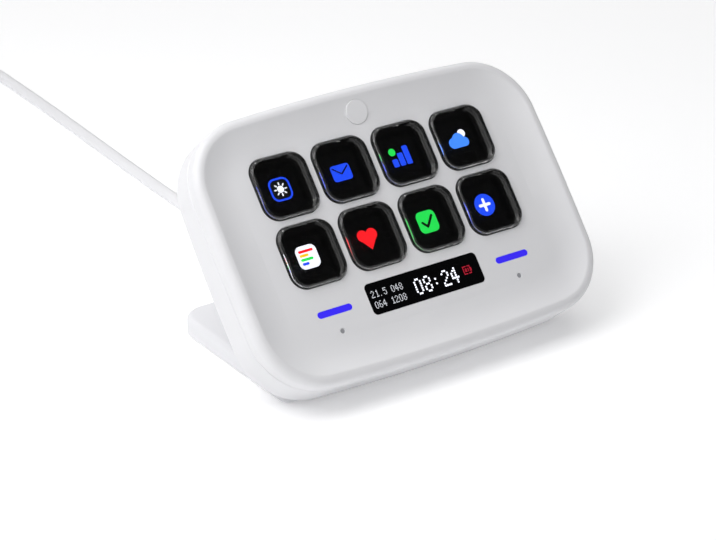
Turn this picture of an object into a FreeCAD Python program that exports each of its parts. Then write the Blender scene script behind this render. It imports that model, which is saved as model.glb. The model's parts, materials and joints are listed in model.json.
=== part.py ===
import FreeCAD, Part
import math
import os
import re
import Sketcher
from FreeCAD import Placement, Rotation, Vector

# A leaning desk keypad: a dished white housing with eight clear screen keys, a narrow
# information window, two lit bars, a flat weighted foot and a thin cord with a small plug.
#
# Two frames are used. The desk frame has X to the right, Y to the back and Z up, with its
# origin on the desk in the middle of the object. The face frame lies in the floor of the
# dish: x to the right, y up the slope and z out of the face, with its origin in the middle
# of the housing's outline. Sizes are in millimetres and angles in degrees.

SIZES = (
    # Housing
    ("face_angle", 49.3, "slope of the face above the desk"),
    ("overall_depth", 65.0, "from the front of the rim to the back of the foot"),
    ("side_margin", 16.9, "outer keys to the housing's sides"),
    ("top_margin", 12.4, "upper keys to the housing's top edge"),
    ("bottom_margin", 26.4, "lower keys to the housing's bottom edge"),
    ("long_edge_radius", 700.0, "gentle crown of the top and bottom edges"),
    ("short_edge_radius", 900.0, "gentle crown of the side edges"),
    ("corner_radius", 17.5, "corners of the outline"),
    ("rim_height", 2.2, "rim above the floor of the dish"),
    ("rim_round", 2.0, "outer rounding of the rim"),
    ("rim_land", 0.6, "flat band on top of the rim"),
    ("rim_blend", 1.0, "soft edge between the band and the cove"),
    ("cove_width", 9.0, "hollow slope between rim and floor"),
    ("floor_thick", 1.8, "wall of the dish"),
    ("rim_roof", 2.2, "wall over the hollow inside the rim"),
    ("side_wall", 2.2, "side walls of both housings"),
    ("seam_depth", 2.6, "joint of the two housings below the floor of the dish"),
    ("seam_bevel", 0.25, "bevel of both housings along their joint"),
    ("back_depth", 13.0, "back face below the floor of the dish"),
    ("back_round", 5.0, "rounding of the back edge, along the top and the upper corners"),
    ("heel_round", 2.5, "rounding of the back edge beside the desk"),
    ("back_wall", 2.0, "wall of the back face"),
    ("edge_lift", 0.12, "housing's lowest edge above the desk"),
    ("tongue_gap", 0.1, "clearance round the rear housing's tongue"),
    ("tongue_thick", 1.0, "tongue that centres the two housings"),
    ("tongue_height", 1.6, "tongue above the joint"),
    ("tongue_root", 2.0, "tongue below the joint"),
    # Keys
    ("key_space", 2.0, "from one cap to the next, both ways"),
    ("key_size", 16.8, "clear cap, square"),
    ("key_gap", 0.2, "clearance round a cap"),
    ("key_corner", 4.2, "corners of a cap"),
    ("key_proud", 1.25, "cap above the floor of the dish"),
    ("key_round", 1.1, "rounded top edge of a cap"),
    ("key_step", 0.3, "top of the black skirt below the floor of the dish"),
    ("key_lip", 0.6, "how far the skirt's retaining lip reaches out"),
    ("key_lip_thick", 0.6, "retaining lip"),
    ("key_lip_gap", 0.1, "lip below the floor's underside"),
    ("key_travel", 0.7, "how far a key goes down"),
    ("skirt_wall", 0.8, "skirt's side wall"),
    ("skirt_gap", 0.1, "clear block inside its skirt"),
    ("frame_thick", 0.5, "frame that closes the skirt below"),
    ("frame_window", 12.0, "square window in that frame"),
    # Mat, screen and boards, stacked behind the keys
    ("mat_gap", 0.1, "pressed key above the mat's sheet"),
    ("mat_sheet", 0.3, "mat's sheet"),
    ("mat_margin", 2.0, "mat beyond the outer lips"),
    ("collar_wall", 0.6, "collapsing collar under a key"),
    ("collar_inset", 1.0, "collar inside the lip's edge"),
    ("screen_thick", 1.8, "screen"),
    ("screen_margin", 1.3, "screen beyond the outer caps"),
    ("tray_wall", 0.6, "sheet metal of the screen's tray"),
    ("tray_gap", 0.15, "tray round the screen"),
    ("ear_size", 5.6, "screw ears of the tray"),
    ("board_inset", 8.0, "main board inside the outline's sides"),
    ("board_gap", 0.4, "main board clear of the case screw bosses"),
    ("board_thick", 1.2, "main board"),
    ("board_corner", 1.5, "corners of the board"),
    ("board_screw_reach", 3.55, "board screws beside the screen's tray"),
    ("board_screw_drop", 7.5, "upper board screws below the upper case screws"),
    ("board_screw_low", -5.0, "lower board screws"),
    ("board_boss", 2.3, "radius of the board's bosses"),
    ("header_x", 9.8, "cord's header right of the middle"),
    ("header_y", 19.1, "cord's header above the middle of the face"),
    ("header_width", 7.5, "cord's header"),
    ("header_height", 4.2, "cord's header"),
    ("header_gap", 1.2, "cord's header clear of the back wall"),
    ("header_wall", 0.5, "walls of the header's mouth"),
    # Screws
    ("screw_radius", 1.0, "shank of every screw"),
    ("head_radius", 1.9, "screw head"),
    ("head_height", 1.2, "screw head"),
    ("pilot_gap", 0.05, "screw in its pilot hole"),
    ("hole_gap", 0.2, "screw in a clearance hole"),
    ("head_gap", 0.3, "head in its counterbore"),
    ("board_screw_length", 5.2, "shank under the head"),
    ("case_screw_length", 8.0, "shank under the head"),
    ("stand_screw_length", 4.2, "shank under the head"),
    ("case_screw_inset", 10.7, "case screws inside the outline's top and bottom edges"),
    ("case_boss_gap", 1.15, "case screw bosses beside the screen's tray"),
    ("case_boss", 3.0, "radius of the case screw bosses"),
    ("case_boss_end", 7.0, "where the two bosses meet, below the floor of the dish"),
    ("case_head_depth", 2.4, "counterbore from the back"),
    ("pilot_roof", 0.8, "depth of a pilot hole's end below the floor of the dish"),
    # Information window, lit bars and touch dimples
    ("window_width", 35.5, "window"),
    ("window_height", 8.5, "window"),
    ("window_corner", 1.3, "corners of the window"),
    ("window_below", 25.2, "window and bars below the middle of the key grid"),
    ("window_thick", 1.2, "window pane"),
    ("window_ledge", 1.1, "ledge that the pane sits on"),
    ("pane_gap", 0.1, "clearance round the pane"),
    ("display_width", 37.5, "display module"),
    ("display_height", 11.0, "display module"),
    ("display_thick", 1.5, "display module"),
    ("bar_length", 10.5, "lit bar"),
    ("bar_height", 1.8, "lit bar"),
    ("bar_offset", 28.2, "bars and dimples from the middle"),
    ("bar_gap", 0.05, "clearance round a light guide"),
    ("bar_flange", 1.0, "guide's flange beyond the bar"),
    ("bar_flange_thick", 0.8, "guide's flange"),
    ("led_height", 0.6, "light on the board"),
    ("led_gap", 0.2, "light under its guide"),
    ("dimple_radius", 0.75, "touch dimple"),
    ("dimple_depth", 0.25, "touch dimple"),
    ("dimple_below", 30.6, "dimples below the middle of the key grid"),
    ("touch_radius", 2.5, "touch sensor"),
    ("touch_thick", 0.25, "touch sensor"),
    # Badge
    ("badge_radius", 3.3, "plain badge"),
    ("badge_rise", 30.3, "badge above the middle of the face"),
    ("badge_proud", 0.45, "badge above the cove"),
    ("badge_sink", 0.5, "badge in its recess"),
    ("badge_gap", 0.05, "clearance round the badge"),
    ("badge_edge", 0.2, "soft edge of the badge"),
    # Foot
    ("foot_width", 87.8, "foot"),
    ("foot_height", 5.3, "top of the foot above the desk"),
    ("foot_front", 20.0, "front edge of the foot before the middle"),
    ("foot_back_corner", 7.0, "back corners"),
    ("foot_front_corner", 2.5, "front corners"),
    ("foot_edge", 1.4, "soft top edge"),
    ("flange_width", 60.0, "upright flange against the housing"),
    ("flange_top", -5.0, "top of the flange from the middle of the face"),
    ("flange_thick", 2.5, "upright flange"),
    ("flange_corner", 5.0, "top corners of the flange"),
    ("flange_root", 2.5, "hollow between flange and foot"),
    ("stand_screw_x", 22.0, "stand screws from the middle"),
    ("stand_screw_high", -11.0, "upper stand screws from the middle of the face"),
    ("stand_screw_low", -23.0, "lower stand screws"),
    ("stand_boss", 2.6, "radius of the stand screw bosses"),
    ("stand_boss_height", 1.8, "stand screw bosses inside the back wall"),
    ("stand_head_depth", 1.4, "counterbore in the flange"),
    ("pad_thick", 1.4, "rubber pad"),
    ("pad_proud", 0.5, "pad below the foot"),
    ("pad_inset", 2.5, "pad inside the foot's edge"),
    ("pad_front", 16.0, "front edge of the pad before the middle"),
    ("pad_corner", 5.0, "corners of the pad"),
    ("pad_gap", 0.1, "clearance round the pad"),
    ("ballast_thick", 1.9, "steel plate"),
    ("ballast_inset", 4.0, "plate inside the pad's edge"),
    ("ballast_corner", 3.0, "corners of the plate"),
    # Cord
    ("cord_radius", 1.7, "cord"),
    ("cord_exit", 7.0, "cord's exit above the middle of the face"),
    ("sleeve_length", 16.0, "sleeve outside the housing"),
    ("sleeve_radius", 3.4, "sleeve at the housing"),
    ("sleeve_tip", 2.1, "sleeve at its end"),
    ("sleeve_neck", 2.5, "sleeve in the wall"),
    ("sleeve_gap", 0.1, "clearance round the neck"),
    ("groove_pitch", 2.5, "ring grooves along the sleeve"),
    ("groove_width", 1.1, "ring groove"),
    ("groove_depth", 0.6, "ring groove"),
    ("groove_count", 5, "ring grooves in the sleeve"),
    ("sleeve_flange", 4.0, "sleeve's flange inside"),
    ("sleeve_flange_thick", 1.2, "sleeve's flange inside"),
    ("clamp_radius", 2.6, "crimp on the cord's inner end"),
    ("clamp_length", 1.3, "crimp on the cord's inner end"),
    ("coil_radius", 27.2, "outermost turn at the middle of the cord"),
    ("coil_turns", 4, "turns in each of the two layers"),
    ("coil_step", 3.9, "from turn to turn and from layer to layer"),
    ("plug_length", 18.0, "plug's grip"),
    ("plug_width", 11.0, "plug's grip"),
    ("plug_height", 6.2, "plug's grip"),
    ("plug_corner", 2.6, "corners of the grip"),
    ("shell_length", 6.6, "plug's metal shell"),
    ("shell_width", 8.3, "plug's metal shell"),
    ("shell_height", 2.5, "plug's metal shell"),
    ("shell_wall", 0.3, "plug's metal shell"),
)

# The free cord's route on the desk, chosen by hand. It starts at the sleeve's end and
# follows the sleeve's slope down, then runs back and ends where the coil starts.
CORD_ROUTE = (
    (0.0, 27.51, 14.98),
    (-0.5, 37.65, 7.9),
    (-1.3, 49.15, 3.2),
    (-2.0, 63.0, 1.75),
    (-2.5, 82.0, 1.7),
    (-2.2, 106.0, 1.7),
    (-1.2, 132.0, 1.7),
    (0.1, 158.0, 1.7),
    (1.3, 184.0, 1.7),
    (2.1, 208.0, 1.7),
    (2.5, 228.0, 1.7),
    (2.6, 243.0, 1.7),
)
COIL_START = (2.6, 254.0, 1.7)

# Sizes that follow from the keys and from the margins round them
DERIVED = {
    "window_drop": "(window_below - key_rise)",
    "dimple_drop": "(dimple_below - key_rise)",
    "key_rise": "((bottom_margin - top_margin) / 2)",
    "face_width": "(3 * key_pitch + key_size + 2 * side_margin)",
    "face_height": "(key_pitch + key_size + top_margin + bottom_margin)",
    "key_pitch": "(key_size + key_space)",
}

NAMES = {name for name, _, _ in SIZES}
doc = FreeCAD.newDocument("Keypad")
sheet = doc.addObject("Spreadsheet::Sheet", "Sizes")
parts = []
waiting = []


# Sizes and expressions

def fill_sheet():
    """Writes every driving size into the sheet, with its name and its meaning."""
    for row, (name, number, meaning) in enumerate(SIZES, 1):
        sheet.set(f"A{row}", meaning)
        sheet.set(f"B{row}", str(number))
        sheet.setAlias(f"B{row}", name)
    doc.recompute()


def bound(text):
    """Returns an expression with each size's name pointing at the sheet."""
    for name, formula in DERIVED.items():
        text = re.sub(rf"\b{name}\b", formula, text)
    return re.sub(r"[a-z_]+", lambda m: f"Sizes.{m[0]}" if m[0] in NAMES else m[0], text)


def value(text):
    """Returns the number that an expression of sizes stands for."""
    return float(sheet.evalExpression(bound(text)))


def tie(item, path, text):
    """Binds one property of an object to an expression of sizes."""
    item.setExpression(path, bound(text))


# How far a cutter runs past the face that it opens
PAST = "0.5"
COVE_RADIUS = "((cove_width^2 + rim_height^2) / (2 * rim_height))"
CREST_INSET = "(rim_round + rim_land)"
COVE_INSET = f"({CREST_INSET} + cove_width)"
LIP_TOP = "(floor_thick + key_lip_gap)"
LIP_LOW = f"({LIP_TOP} + key_lip_thick)"
MAT_TOP = f"({LIP_LOW} + key_travel + mat_gap)"
SCREEN_TOP = f"({MAT_TOP} + mat_sheet)"
TRAY_FLOOR = f"({SCREEN_TOP} + screen_thick)"
BOARD_TOP = f"({TRAY_FLOOR} + tray_wall)"
BOARD_LOW = f"({BOARD_TOP} + board_thick)"
HEADER_THICK = f"(back_depth - back_wall - {BOARD_LOW} - header_gap)"
GRID_WIDTH = "(3 * key_pitch + key_size)"
GRID_HEIGHT = "(key_pitch + key_size)"
TRAY_SIDE = f"({GRID_WIDTH} / 2 + screen_margin + tray_gap + tray_wall)"
CASE_SCREW_X = f"({TRAY_SIDE} + case_boss_gap + case_boss)"
CASE_SCREW_Y = "(face_height / 2 - case_screw_inset)"
BOARD_SCREW_X = f"({TRAY_SIDE} + board_screw_reach)"
BOARD_SCREW_LEVELS = f"({CASE_SCREW_Y} - board_screw_drop)", "board_screw_low"
BOARD_WIDTH = "(face_width - 2 * board_inset)"
BOARD_HEIGHT = f"(2 * ({CASE_SCREW_Y} - case_boss - board_gap))"
LIP_SIZE = "(key_size + 2 * key_lip)"
FLOOR_EDGE = f"(face_height / 2 - {COVE_INSET})"
BADGE_SLOPE = f"asin((badge_rise - {FLOOR_EDGE}) / {COVE_RADIUS})"
BADGE_LEVEL = f"({COVE_RADIUS} * (1 - cos({BADGE_SLOPE})))"
FACE_Y = (
    "((face_height / 2 - rim_round) * cos(face_angle)"
    " + (rim_height - rim_round) * sin(face_angle) + rim_round - overall_depth / 2)"
)
FACE_Z = (
    "(edge_lift + heel_round + (face_height / 2 - heel_round) * sin(face_angle)"
    " + (back_depth - heel_round) * cos(face_angle))"
)


def on_face(item, x="0", y="0", z="0"):
    """Leans an object with the face and puts its origin at a point of the face frame."""
    item.Placement = Placement(Vector(), Rotation(Vector(1, 0, 0), 1))
    tie(item, "Placement.Rotation.Angle", "face_angle")
    tie(item, "Placement.Base.x", x)
    tie(item, "Placement.Base.y", f"{FACE_Y} + ({y}) * cos(face_angle) - ({z}) * sin(face_angle)")
    tie(item, "Placement.Base.z", f"{FACE_Z} + ({y}) * sin(face_angle) + ({z}) * cos(face_angle)")


def face_point(x, y, z):
    """Returns the desk position of a point of the face frame."""
    lean = Rotation(Vector(1, 0, 0), value("face_angle"))
    return Vector(0, value(FACE_Y), value(FACE_Z)) + lean.multVec(Vector(x, y, z))


# Sketches

def new_body(label):
    """Returns a new body."""
    body = doc.addObject("PartDesign::Body", label)
    body.Label = label
    body.AllowCompound = True
    return body


def new_sketch(body, level="0", plane="XY_Plane"):
    """Returns a sketch on one of the body's origin planes, raised to a level."""
    sketch = body.newObject("Sketcher::SketchObject", f"{body.Name}_sketch")
    origin_plane = next(o for o in body.Origin.OriginFeatures if o.Role == plane)
    sketch.AttachmentSupport = (origin_plane, [""])
    sketch.MapMode = "FlatFace"
    tie(sketch, "AttachmentOffset.Base.z", level)
    return sketch


def hold(sketch, kind, *args, name=None, text=None):
    """Notes a constraint for a sketch, bound to an expression of sizes where one is given."""
    if text is None:
        waiting.append((Sketcher.Constraint(kind, *args), None))
        return
    rule = Sketcher.Constraint(kind, *args, value(text))
    rule.Name = f"{name}_{len(waiting)}"
    waiting.append((rule, text))


def settle(sketch):
    """Adds the noted constraints to their sketch in one go, and binds them."""
    sketch.addConstraint([rule for rule, _ in waiting])
    for rule, text in waiting:
        if text is not None:
            tie(sketch, f"Constraints.{rule.Name}", text)
    waiting.clear()


def arc_of(centre, radius, start, end):
    """Returns an arc for a sketch, with its angles in radians."""
    circle = Part.Circle(Vector(*centre, 0), Vector(0, 0, 1), radius)
    return Part.ArcOfCircle(circle, start, end)


def join_ring(sketch, first, count, kind="Tangent"):
    """Joins each curve's end to the next one's start, all the way round."""
    for n in range(count):
        hold(sketch, kind, first + n, 2, first + (n + 1) % count, 1)


def crowned_outline(sketch, inset):
    """Draws the housing's outline, drawn in by inset, as eight tangent arcs."""
    half_w, half_h = value("face_width / 2"), value("face_height / 2")
    long_r, short_r = value("long_edge_radius"), value("short_edge_radius")
    corner_r, drawn_in = value("corner_radius"), value(inset)
    top, side = (0, half_h - long_r), (half_w - short_r, 0)
    span = math.dist(top, side)
    along = (span**2 + (long_r - corner_r) ** 2 - (short_r - corner_r) ** 2) / (2 * span)
    across = math.sqrt((long_r - corner_r) ** 2 - along**2)
    ex, ey = (side[0] - top[0]) / span, (side[1] - top[1]) / span
    corner = (top[0] + along * ex + across * ey, top[1] + along * ey - across * ex)
    high = math.atan2(corner[1] - top[1], corner[0] - top[0])
    low = math.atan2(corner[1] - side[1], corner[0] - side[0])
    half, turn = math.pi, 2 * math.pi
    rings = (
        (side, short_r, -low, low),
        (corner, corner_r, low, high),
        (top, long_r, high, half - high),
        ((-corner[0], corner[1]), corner_r, half - high, half - low),
        ((-side[0], 0), short_r, half - low, half + low),
        ((-corner[0], -corner[1]), corner_r, half + low, half + high),
        ((0, -top[1]), long_r, half + high, turn - high),
        ((corner[0], -corner[1]), corner_r, turn - high, turn - low),
    )
    for centre, radius, start, end in rings:
        sketch.addGeometry(arc_of(centre, radius - drawn_in, start, end))
    join_ring(sketch, 0, 8)
    for other in (3, 5, 7):
        hold(sketch, "Equal", 1, other)
    hold(sketch, "Equal", 0, 4)
    hold(sketch, "Equal", 2, 6)
    hold(sketch, "PointOnObject", 2, 3, -2)
    hold(sketch, "PointOnObject", 6, 3, -2)
    hold(sketch, "PointOnObject", 0, 3, -1)
    hold(sketch, "PointOnObject", 4, 3, -1)
    hold(sketch, "Radius", 0, name="short", text=f"short_edge_radius - ({inset})")
    hold(sketch, "Radius", 1, name="corner", text=f"corner_radius - ({inset})")
    hold(sketch, "Radius", 2, name="long", text=f"long_edge_radius - ({inset})")
    hold(sketch, "DistanceY", 2, 3, -1, 1, name="top", text="long_edge_radius - face_height / 2")
    hold(sketch, "DistanceY", -1, 1, 6, 3, name="low", text="long_edge_radius - face_height / 2")
    hold(sketch, "DistanceX", 0, 3, -1, 1, name="right", text="short_edge_radius - face_width / 2")
    hold(sketch, "DistanceX", -1, 1, 4, 3, name="left", text="short_edge_radius - face_width / 2")


def rounded_rectangle(sketch, width, height, radius, x="0", y="0"):
    """Draws a rectangle with rounded corners about the point x, y."""
    w, h, r, cx, cy = (value(text) for text in (width, height, radius, x, y))
    right, left, top, low = cx + w / 2, cx - w / 2, cy + h / 2, cy - h / 2
    quarter = math.pi / 2
    first = sketch.GeometryCount
    sketch.addGeometry(Part.LineSegment(Vector(left + r, low, 0), Vector(right - r, low, 0)))
    sketch.addGeometry(arc_of((right - r, low + r), r, 3 * quarter, 4 * quarter))
    sketch.addGeometry(Part.LineSegment(Vector(right, low + r, 0), Vector(right, top - r, 0)))
    sketch.addGeometry(arc_of((right - r, top - r), r, 0, quarter))
    sketch.addGeometry(Part.LineSegment(Vector(right - r, top, 0), Vector(left + r, top, 0)))
    sketch.addGeometry(arc_of((left + r, top - r), r, quarter, 2 * quarter))
    sketch.addGeometry(Part.LineSegment(Vector(left, top - r, 0), Vector(left, low + r, 0)))
    sketch.addGeometry(arc_of((left + r, low + r), r, 2 * quarter, 3 * quarter))
    join_ring(sketch, first, 8)
    for n in (0, 4):
        hold(sketch, "Horizontal", first + n)
        hold(sketch, "Vertical", first + n + 2)
    for n in (3, 5, 7):
        hold(sketch, "Equal", first + 1, first + n)
    hold(sketch, "Radius", first + 1, name="corner", text=radius)
    hold(sketch, "DistanceX", -1, 1, first + 2, 1, name="right", text=f"{x} + {width} / 2")
    hold(sketch, "DistanceX", -1, 1, first + 6, 1, name="left", text=f"{x} - {width} / 2")
    hold(sketch, "DistanceY", -1, 1, first + 4, 1, name="top", text=f"{y} + {height} / 2")
    hold(sketch, "DistanceY", -1, 1, first, 1, name="low", text=f"{y} - {height} / 2")


def stadium(sketch, length, height, x="0", y="0"):
    """Draws a slot with round ends about the point x, y."""
    span, r, cx, cy = (value(text) for text in (f"{length} - {height}", f"{height} / 2", x, y))
    quarter = math.pi / 2
    right, left = cx + span / 2, cx - span / 2
    first = sketch.GeometryCount
    sketch.addGeometry(Part.LineSegment(Vector(left, cy - r, 0), Vector(right, cy - r, 0)))
    sketch.addGeometry(arc_of((right, cy), r, -quarter, quarter))
    sketch.addGeometry(Part.LineSegment(Vector(right, cy + r, 0), Vector(left, cy + r, 0)))
    sketch.addGeometry(arc_of((left, cy), r, quarter, 3 * quarter))
    join_ring(sketch, first, 4)
    hold(sketch, "Horizontal", first)
    hold(sketch, "Horizontal", first + 2)
    hold(sketch, "Radius", first + 1, name="end", text=f"{height} / 2")
    hold(sketch, "DistanceX", -1, 1, first + 1, 3, name="right", text=f"{x} + ({length} - {height}) / 2")
    hold(sketch, "DistanceX", -1, 1, first + 3, 3, name="left", text=f"{x} - ({length} - {height}) / 2")
    hold(sketch, "DistanceY", -1, 1, first + 1, 3, name="level", text=y)


def two_bars(sketch, length, height):
    """Draws the two lit bars' slots, left and right."""
    for side in ("-", ""):
        stadium(sketch, length, height, x=f"{side}bar_offset", y="-window_drop")


def circles(sketch, radius, *centres):
    """Draws equal circles about a list of points."""
    for x, y in centres:
        index = sketch.addGeometry(Part.Circle(Vector(value(x), value(y), 0), Vector(0, 0, 1), value(radius)))
        hold(sketch, "Radius", index, name="radius", text=radius)
        hold(sketch, "DistanceX", -1, 1, index, 3, name="x", text=x)
        hold(sketch, "DistanceY", -1, 1, index, 3, name="y", text=y)


def polygon(sketch, *points):
    """Draws straight lines from point to point and back to the first."""
    first = sketch.GeometryCount
    spots = [Vector(value(x), value(y), 0) for x, y in points]
    for n, spot in enumerate(spots):
        sketch.addGeometry(Part.LineSegment(spot, spots[(n + 1) % len(spots)]))
    join_ring(sketch, first, len(points), "Coincident")
    for n, (x, y) in enumerate(points):
        hold(sketch, "DistanceX", -1, 1, first + n, 1, name="x", text=x)
        hold(sketch, "DistanceY", -1, 1, first + n, 1, name="y", text=y)


# Features

def prism(body, low, high, draw, *sizes):
    """Pads an outline from one level up to another."""
    sketch = new_sketch(body, low)
    draw(sketch, *sizes)
    settle(sketch)
    pad = body.newObject("PartDesign::Pad", f"{body.Name}_pad")
    pad.Profile = sketch
    tie(pad, "Length", f"{high} - ({low})")
    doc.recompute()
    return pad


def cut(body, low, high, draw, *sizes):
    """Pockets an outline from one level down to another."""
    before = body.Shape.Volume
    sketch = new_sketch(body, high)
    draw(sketch, *sizes)
    settle(sketch)
    pocket = body.newObject("PartDesign::Pocket", f"{body.Name}_pocket")
    pocket.Profile = sketch
    tie(pocket, "Length", f"{high} - ({low})")
    doc.recompute()
    if body.Shape.Volume >= before:
        raise ValueError(f"a pocket of {body.Label} cuts nothing")
    return pocket


def finish_edges(body, kind, test):
    """Adds a fillet or chamfer on the last feature's edges whose bounding box passes a test."""
    base = body.Tip
    names = [f"Edge{n}" for n, edge in enumerate(base.Shape.Edges, 1) if test(edge.BoundBox)]
    if not names:
        raise ValueError(f"{body.Label} has no such edge to finish")
    feature = body.newObject(f"PartDesign::{kind}", f"{body.Name}_{kind.lower()}")
    feature.Base = (base, names)
    return feature


def soften(body, radius, test):
    """Rounds the edges of the body's last feature whose bounding box passes a test."""
    tie(finish_edges(body, "Fillet", test), "Radius", radius)
    doc.recompute()


def bevel(body, size, test):
    """Bevels the edges of the body's last feature whose bounding box passes a test."""
    tie(finish_edges(body, "Chamfer", test), "Size", size)
    doc.recompute()


def near(one, other, slack=0.001):
    """Says whether two lengths are equal within the slack."""
    return abs(one - other) < slack


def level_edges(text):
    """Returns a test for edges that lie flat at a level."""
    level = value(text)
    return lambda box: near(box.ZMin, level) and near(box.ZMax, level)


def outer_edges(text):
    """Returns a test for edges of the housing's outline that lie flat at a level."""
    flat = level_edges(text)
    wide, high = value("face_width / 2 - side_wall / 2"), value("face_height / 2 - side_wall / 2")
    return lambda box: flat(box) and (
        max(-box.XMin, box.XMax) > wide or max(-box.YMin, box.YMax) > high
    )


def upright_edges(box):
    """Says whether an edge stands along z."""
    return box.XLength < 0.001 and box.YLength < 0.001 and box.ZLength > 0.01


def spin(body, *points):
    """Revolves a closed profile of radius and level about the body's z axis."""
    sketch = new_sketch(body, plane="XZ_Plane")
    polygon(sketch, *points)
    settle(sketch)
    turned = body.newObject("PartDesign::Revolution", f"{body.Name}_turned")
    turned.Profile = sketch
    turned.ReferenceAxis = (sketch, ["V_Axis"])
    turned.Angle = 360
    doc.recompute()
    return turned


def combine(kind, label, base, tool):
    """Joins two shapes with a boolean of the given kind."""
    result = doc.addObject(kind, label)
    result.Base, result.Tool = base, tool
    doc.recompute()
    return result


def keep(item):
    """Lists an object as one of the parts."""
    parts.append(item)
    return item


def solid_part(label, shape, place=None):
    """Adds a part whose shape the code works out from the sheet."""
    item = doc.addObject("Part::Feature", label)
    item.Label = label
    item.Shape = shape
    if place:
        place(item)
    return keep(item)


# Housing

BOARD_BOSSES = [
    (f"{side}{BOARD_SCREW_X}", level)
    for side in ("-", "")
    for level in BOARD_SCREW_LEVELS
]
CASE_BOSSES = [(f"{a}{CASE_SCREW_X}", f"{b}{CASE_SCREW_Y}") for a in ("-", "") for b in ("-", "")]
STAND_BOSSES = [
    (f"{side}stand_screw_x", level)
    for side in ("-", "")
    for level in ("stand_screw_high", "stand_screw_low")
]


def dish_tool(label, drop):
    """Returns the solid that hollows the dish, lowered and grown by drop for its underside."""
    tool = new_body(label)
    inset = f"{COVE_INSET} - {COVE_RADIUS} - {drop}"
    prism(tool, f"-{drop}", f"{COVE_RADIUS} + 3 * rim_height", crowned_outline, inset)
    soften(tool, f"{COVE_RADIUS} + {drop}", level_edges(f"-{drop}"))
    return tool


def bezel_moulding():
    """Returns the front housing's shell with its dish, its hollow rim and its bosses."""
    blank = new_body("bezel_blank")
    prism(blank, "-seam_depth", "rim_height", crowned_outline, "0")
    soften(blank, "rim_round", level_edges("rim_height"))
    hollow = new_body("rim_hollow")
    prism(hollow, "-seam_depth", "rim_height - rim_roof", crowned_outline, "side_wall")
    underside = dish_tool("dish_underside", "floor_thick")
    room = combine("Part::Cut", "rim_room", hollow, underside)
    shell = combine("Part::Cut", "bezel_shell", blank, room)
    bosses = new_body("bezel_bosses")
    prism(bosses, f"-{TRAY_FLOOR}", "rim_height - rim_roof", circles, "board_boss", *BOARD_BOSSES)
    prism(bosses, "-case_boss_end", "rim_height - rim_roof", circles, "case_boss", *CASE_BOSSES)
    bossed = combine("Part::Fuse", "bezel_bossed", shell, bosses)
    return combine("Part::Cut", "bezel_moulding", bossed, dish_tool("dish", "0"))


def key_grid(body, feature):
    """Repeats the lower left key's feature over the grid, four across and two up."""
    grid = body.newObject("PartDesign::LinearPattern", f"{body.Name}_grid")
    grid.Originals = [feature]
    grid.Direction = (feature.Profile[0], ["H_Axis"])
    grid.Direction2 = (feature.Profile[0], ["V_Axis"])
    grid.Mode = grid.Mode2 = "Spacing"
    grid.Occurrences, grid.Occurrences2 = 4, 2
    grid.Spacings2 = [-1]
    tie(grid, "Offset", "key_pitch")
    tie(grid, "Offset2", "key_pitch")
    body.Tip = grid
    doc.recompute()


FIRST_KEY = "-1.5 * key_pitch", "key_rise - key_pitch / 2"


def key_openings(body):
    """Cuts the eight square openings for the caps."""
    size = "(key_size + 2 * key_gap)"
    pocket = cut(body, f"-floor_thick - {PAST}", PAST, rounded_rectangle,
                 size, size, "key_corner + key_gap", *FIRST_KEY)
    key_grid(body, pocket)


def badge_recess(body):
    """Sinks the badge's seat square to the cove."""
    seat = body.newObject("PartDesign::SubtractiveCylinder", "badge_seat")
    seat.Placement = Placement(Vector(), Rotation(Vector(1, 0, 0), 1))
    tie(seat, "Radius", "badge_radius + badge_gap")
    tie(seat, "Height", "badge_sink + rim_height")
    tie(seat, "Placement.Rotation.Angle", BADGE_SLOPE)
    tie(seat, "Placement.Base.y", f"badge_rise + badge_sink * sin({BADGE_SLOPE})")
    tie(seat, "Placement.Base.z", f"{BADGE_LEVEL} - badge_sink * cos({BADGE_SLOPE})")
    doc.recompute()


def make_front_bezel():
    """Front housing: dish, rim, openings, window seat, slots and screw bosses."""
    body = new_body("front_bezel")
    body.BaseFeature = bezel_moulding()
    doc.recompute()
    bevel(body, "seam_bevel", outer_edges("-seam_depth"))
    crest = value(f"face_height / 2 - {CREST_INSET} + rim_land / 3")
    on_top = level_edges("rim_height")
    soften(body, "rim_blend", lambda box: on_top(box) and max(abs(box.YMin), abs(box.YMax)) < crest)
    key_openings(body)
    ledge = "- 2 * window_ledge"
    cut(body, "-window_thick", PAST, rounded_rectangle,
        "window_width", "window_height", "window_corner", "0", "-window_drop")
    cut(body, f"-floor_thick - {PAST}", "0", rounded_rectangle,
        f"(window_width {ledge})", f"(window_height {ledge})", "window_corner / 2", "0", "-window_drop")
    cut(body, f"-floor_thick - {PAST}", PAST, two_bars, "bar_length", "bar_height")
    dimples = [(f"{side}bar_offset", "-dimple_drop") for side in ("-", "")]
    cut(body, "-dimple_depth", PAST, circles, "dimple_radius", *dimples)
    badge_recess(body)
    pilot = "screw_radius + pilot_gap"
    cut(body, f"-{TRAY_FLOOR} - {PAST}", "-pilot_roof", circles, pilot, *BOARD_BOSSES)
    cut(body, f"-case_boss_end - {PAST}", "-pilot_roof", circles, pilot, *CASE_BOSSES)
    on_face(body)
    keep(body)


def shell_blank():
    """Returns the rear housing's outer form, whose back edge is rounded less towards the desk."""
    block = new_body("shell_block")
    prism(block, "-back_depth", "-seam_depth", crowned_outline, "0")
    bevel(block, "seam_bevel", outer_edges("-seam_depth"))
    blank = doc.addObject("Part::Fillet", "shell_blank")
    blank.Base = block
    on_back = level_edges("-back_depth")
    back_edges = [(n, edge) for n, edge in enumerate(block.Shape.Edges, 1) if on_back(edge.BoundBox)]
    blank.Edges = [
        (n, back_edge_radius(edge.firstVertex(True).Y), back_edge_radius(edge.lastVertex(True).Y))
        for n, edge in back_edges
    ]
    doc.recompute()
    return blank


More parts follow.
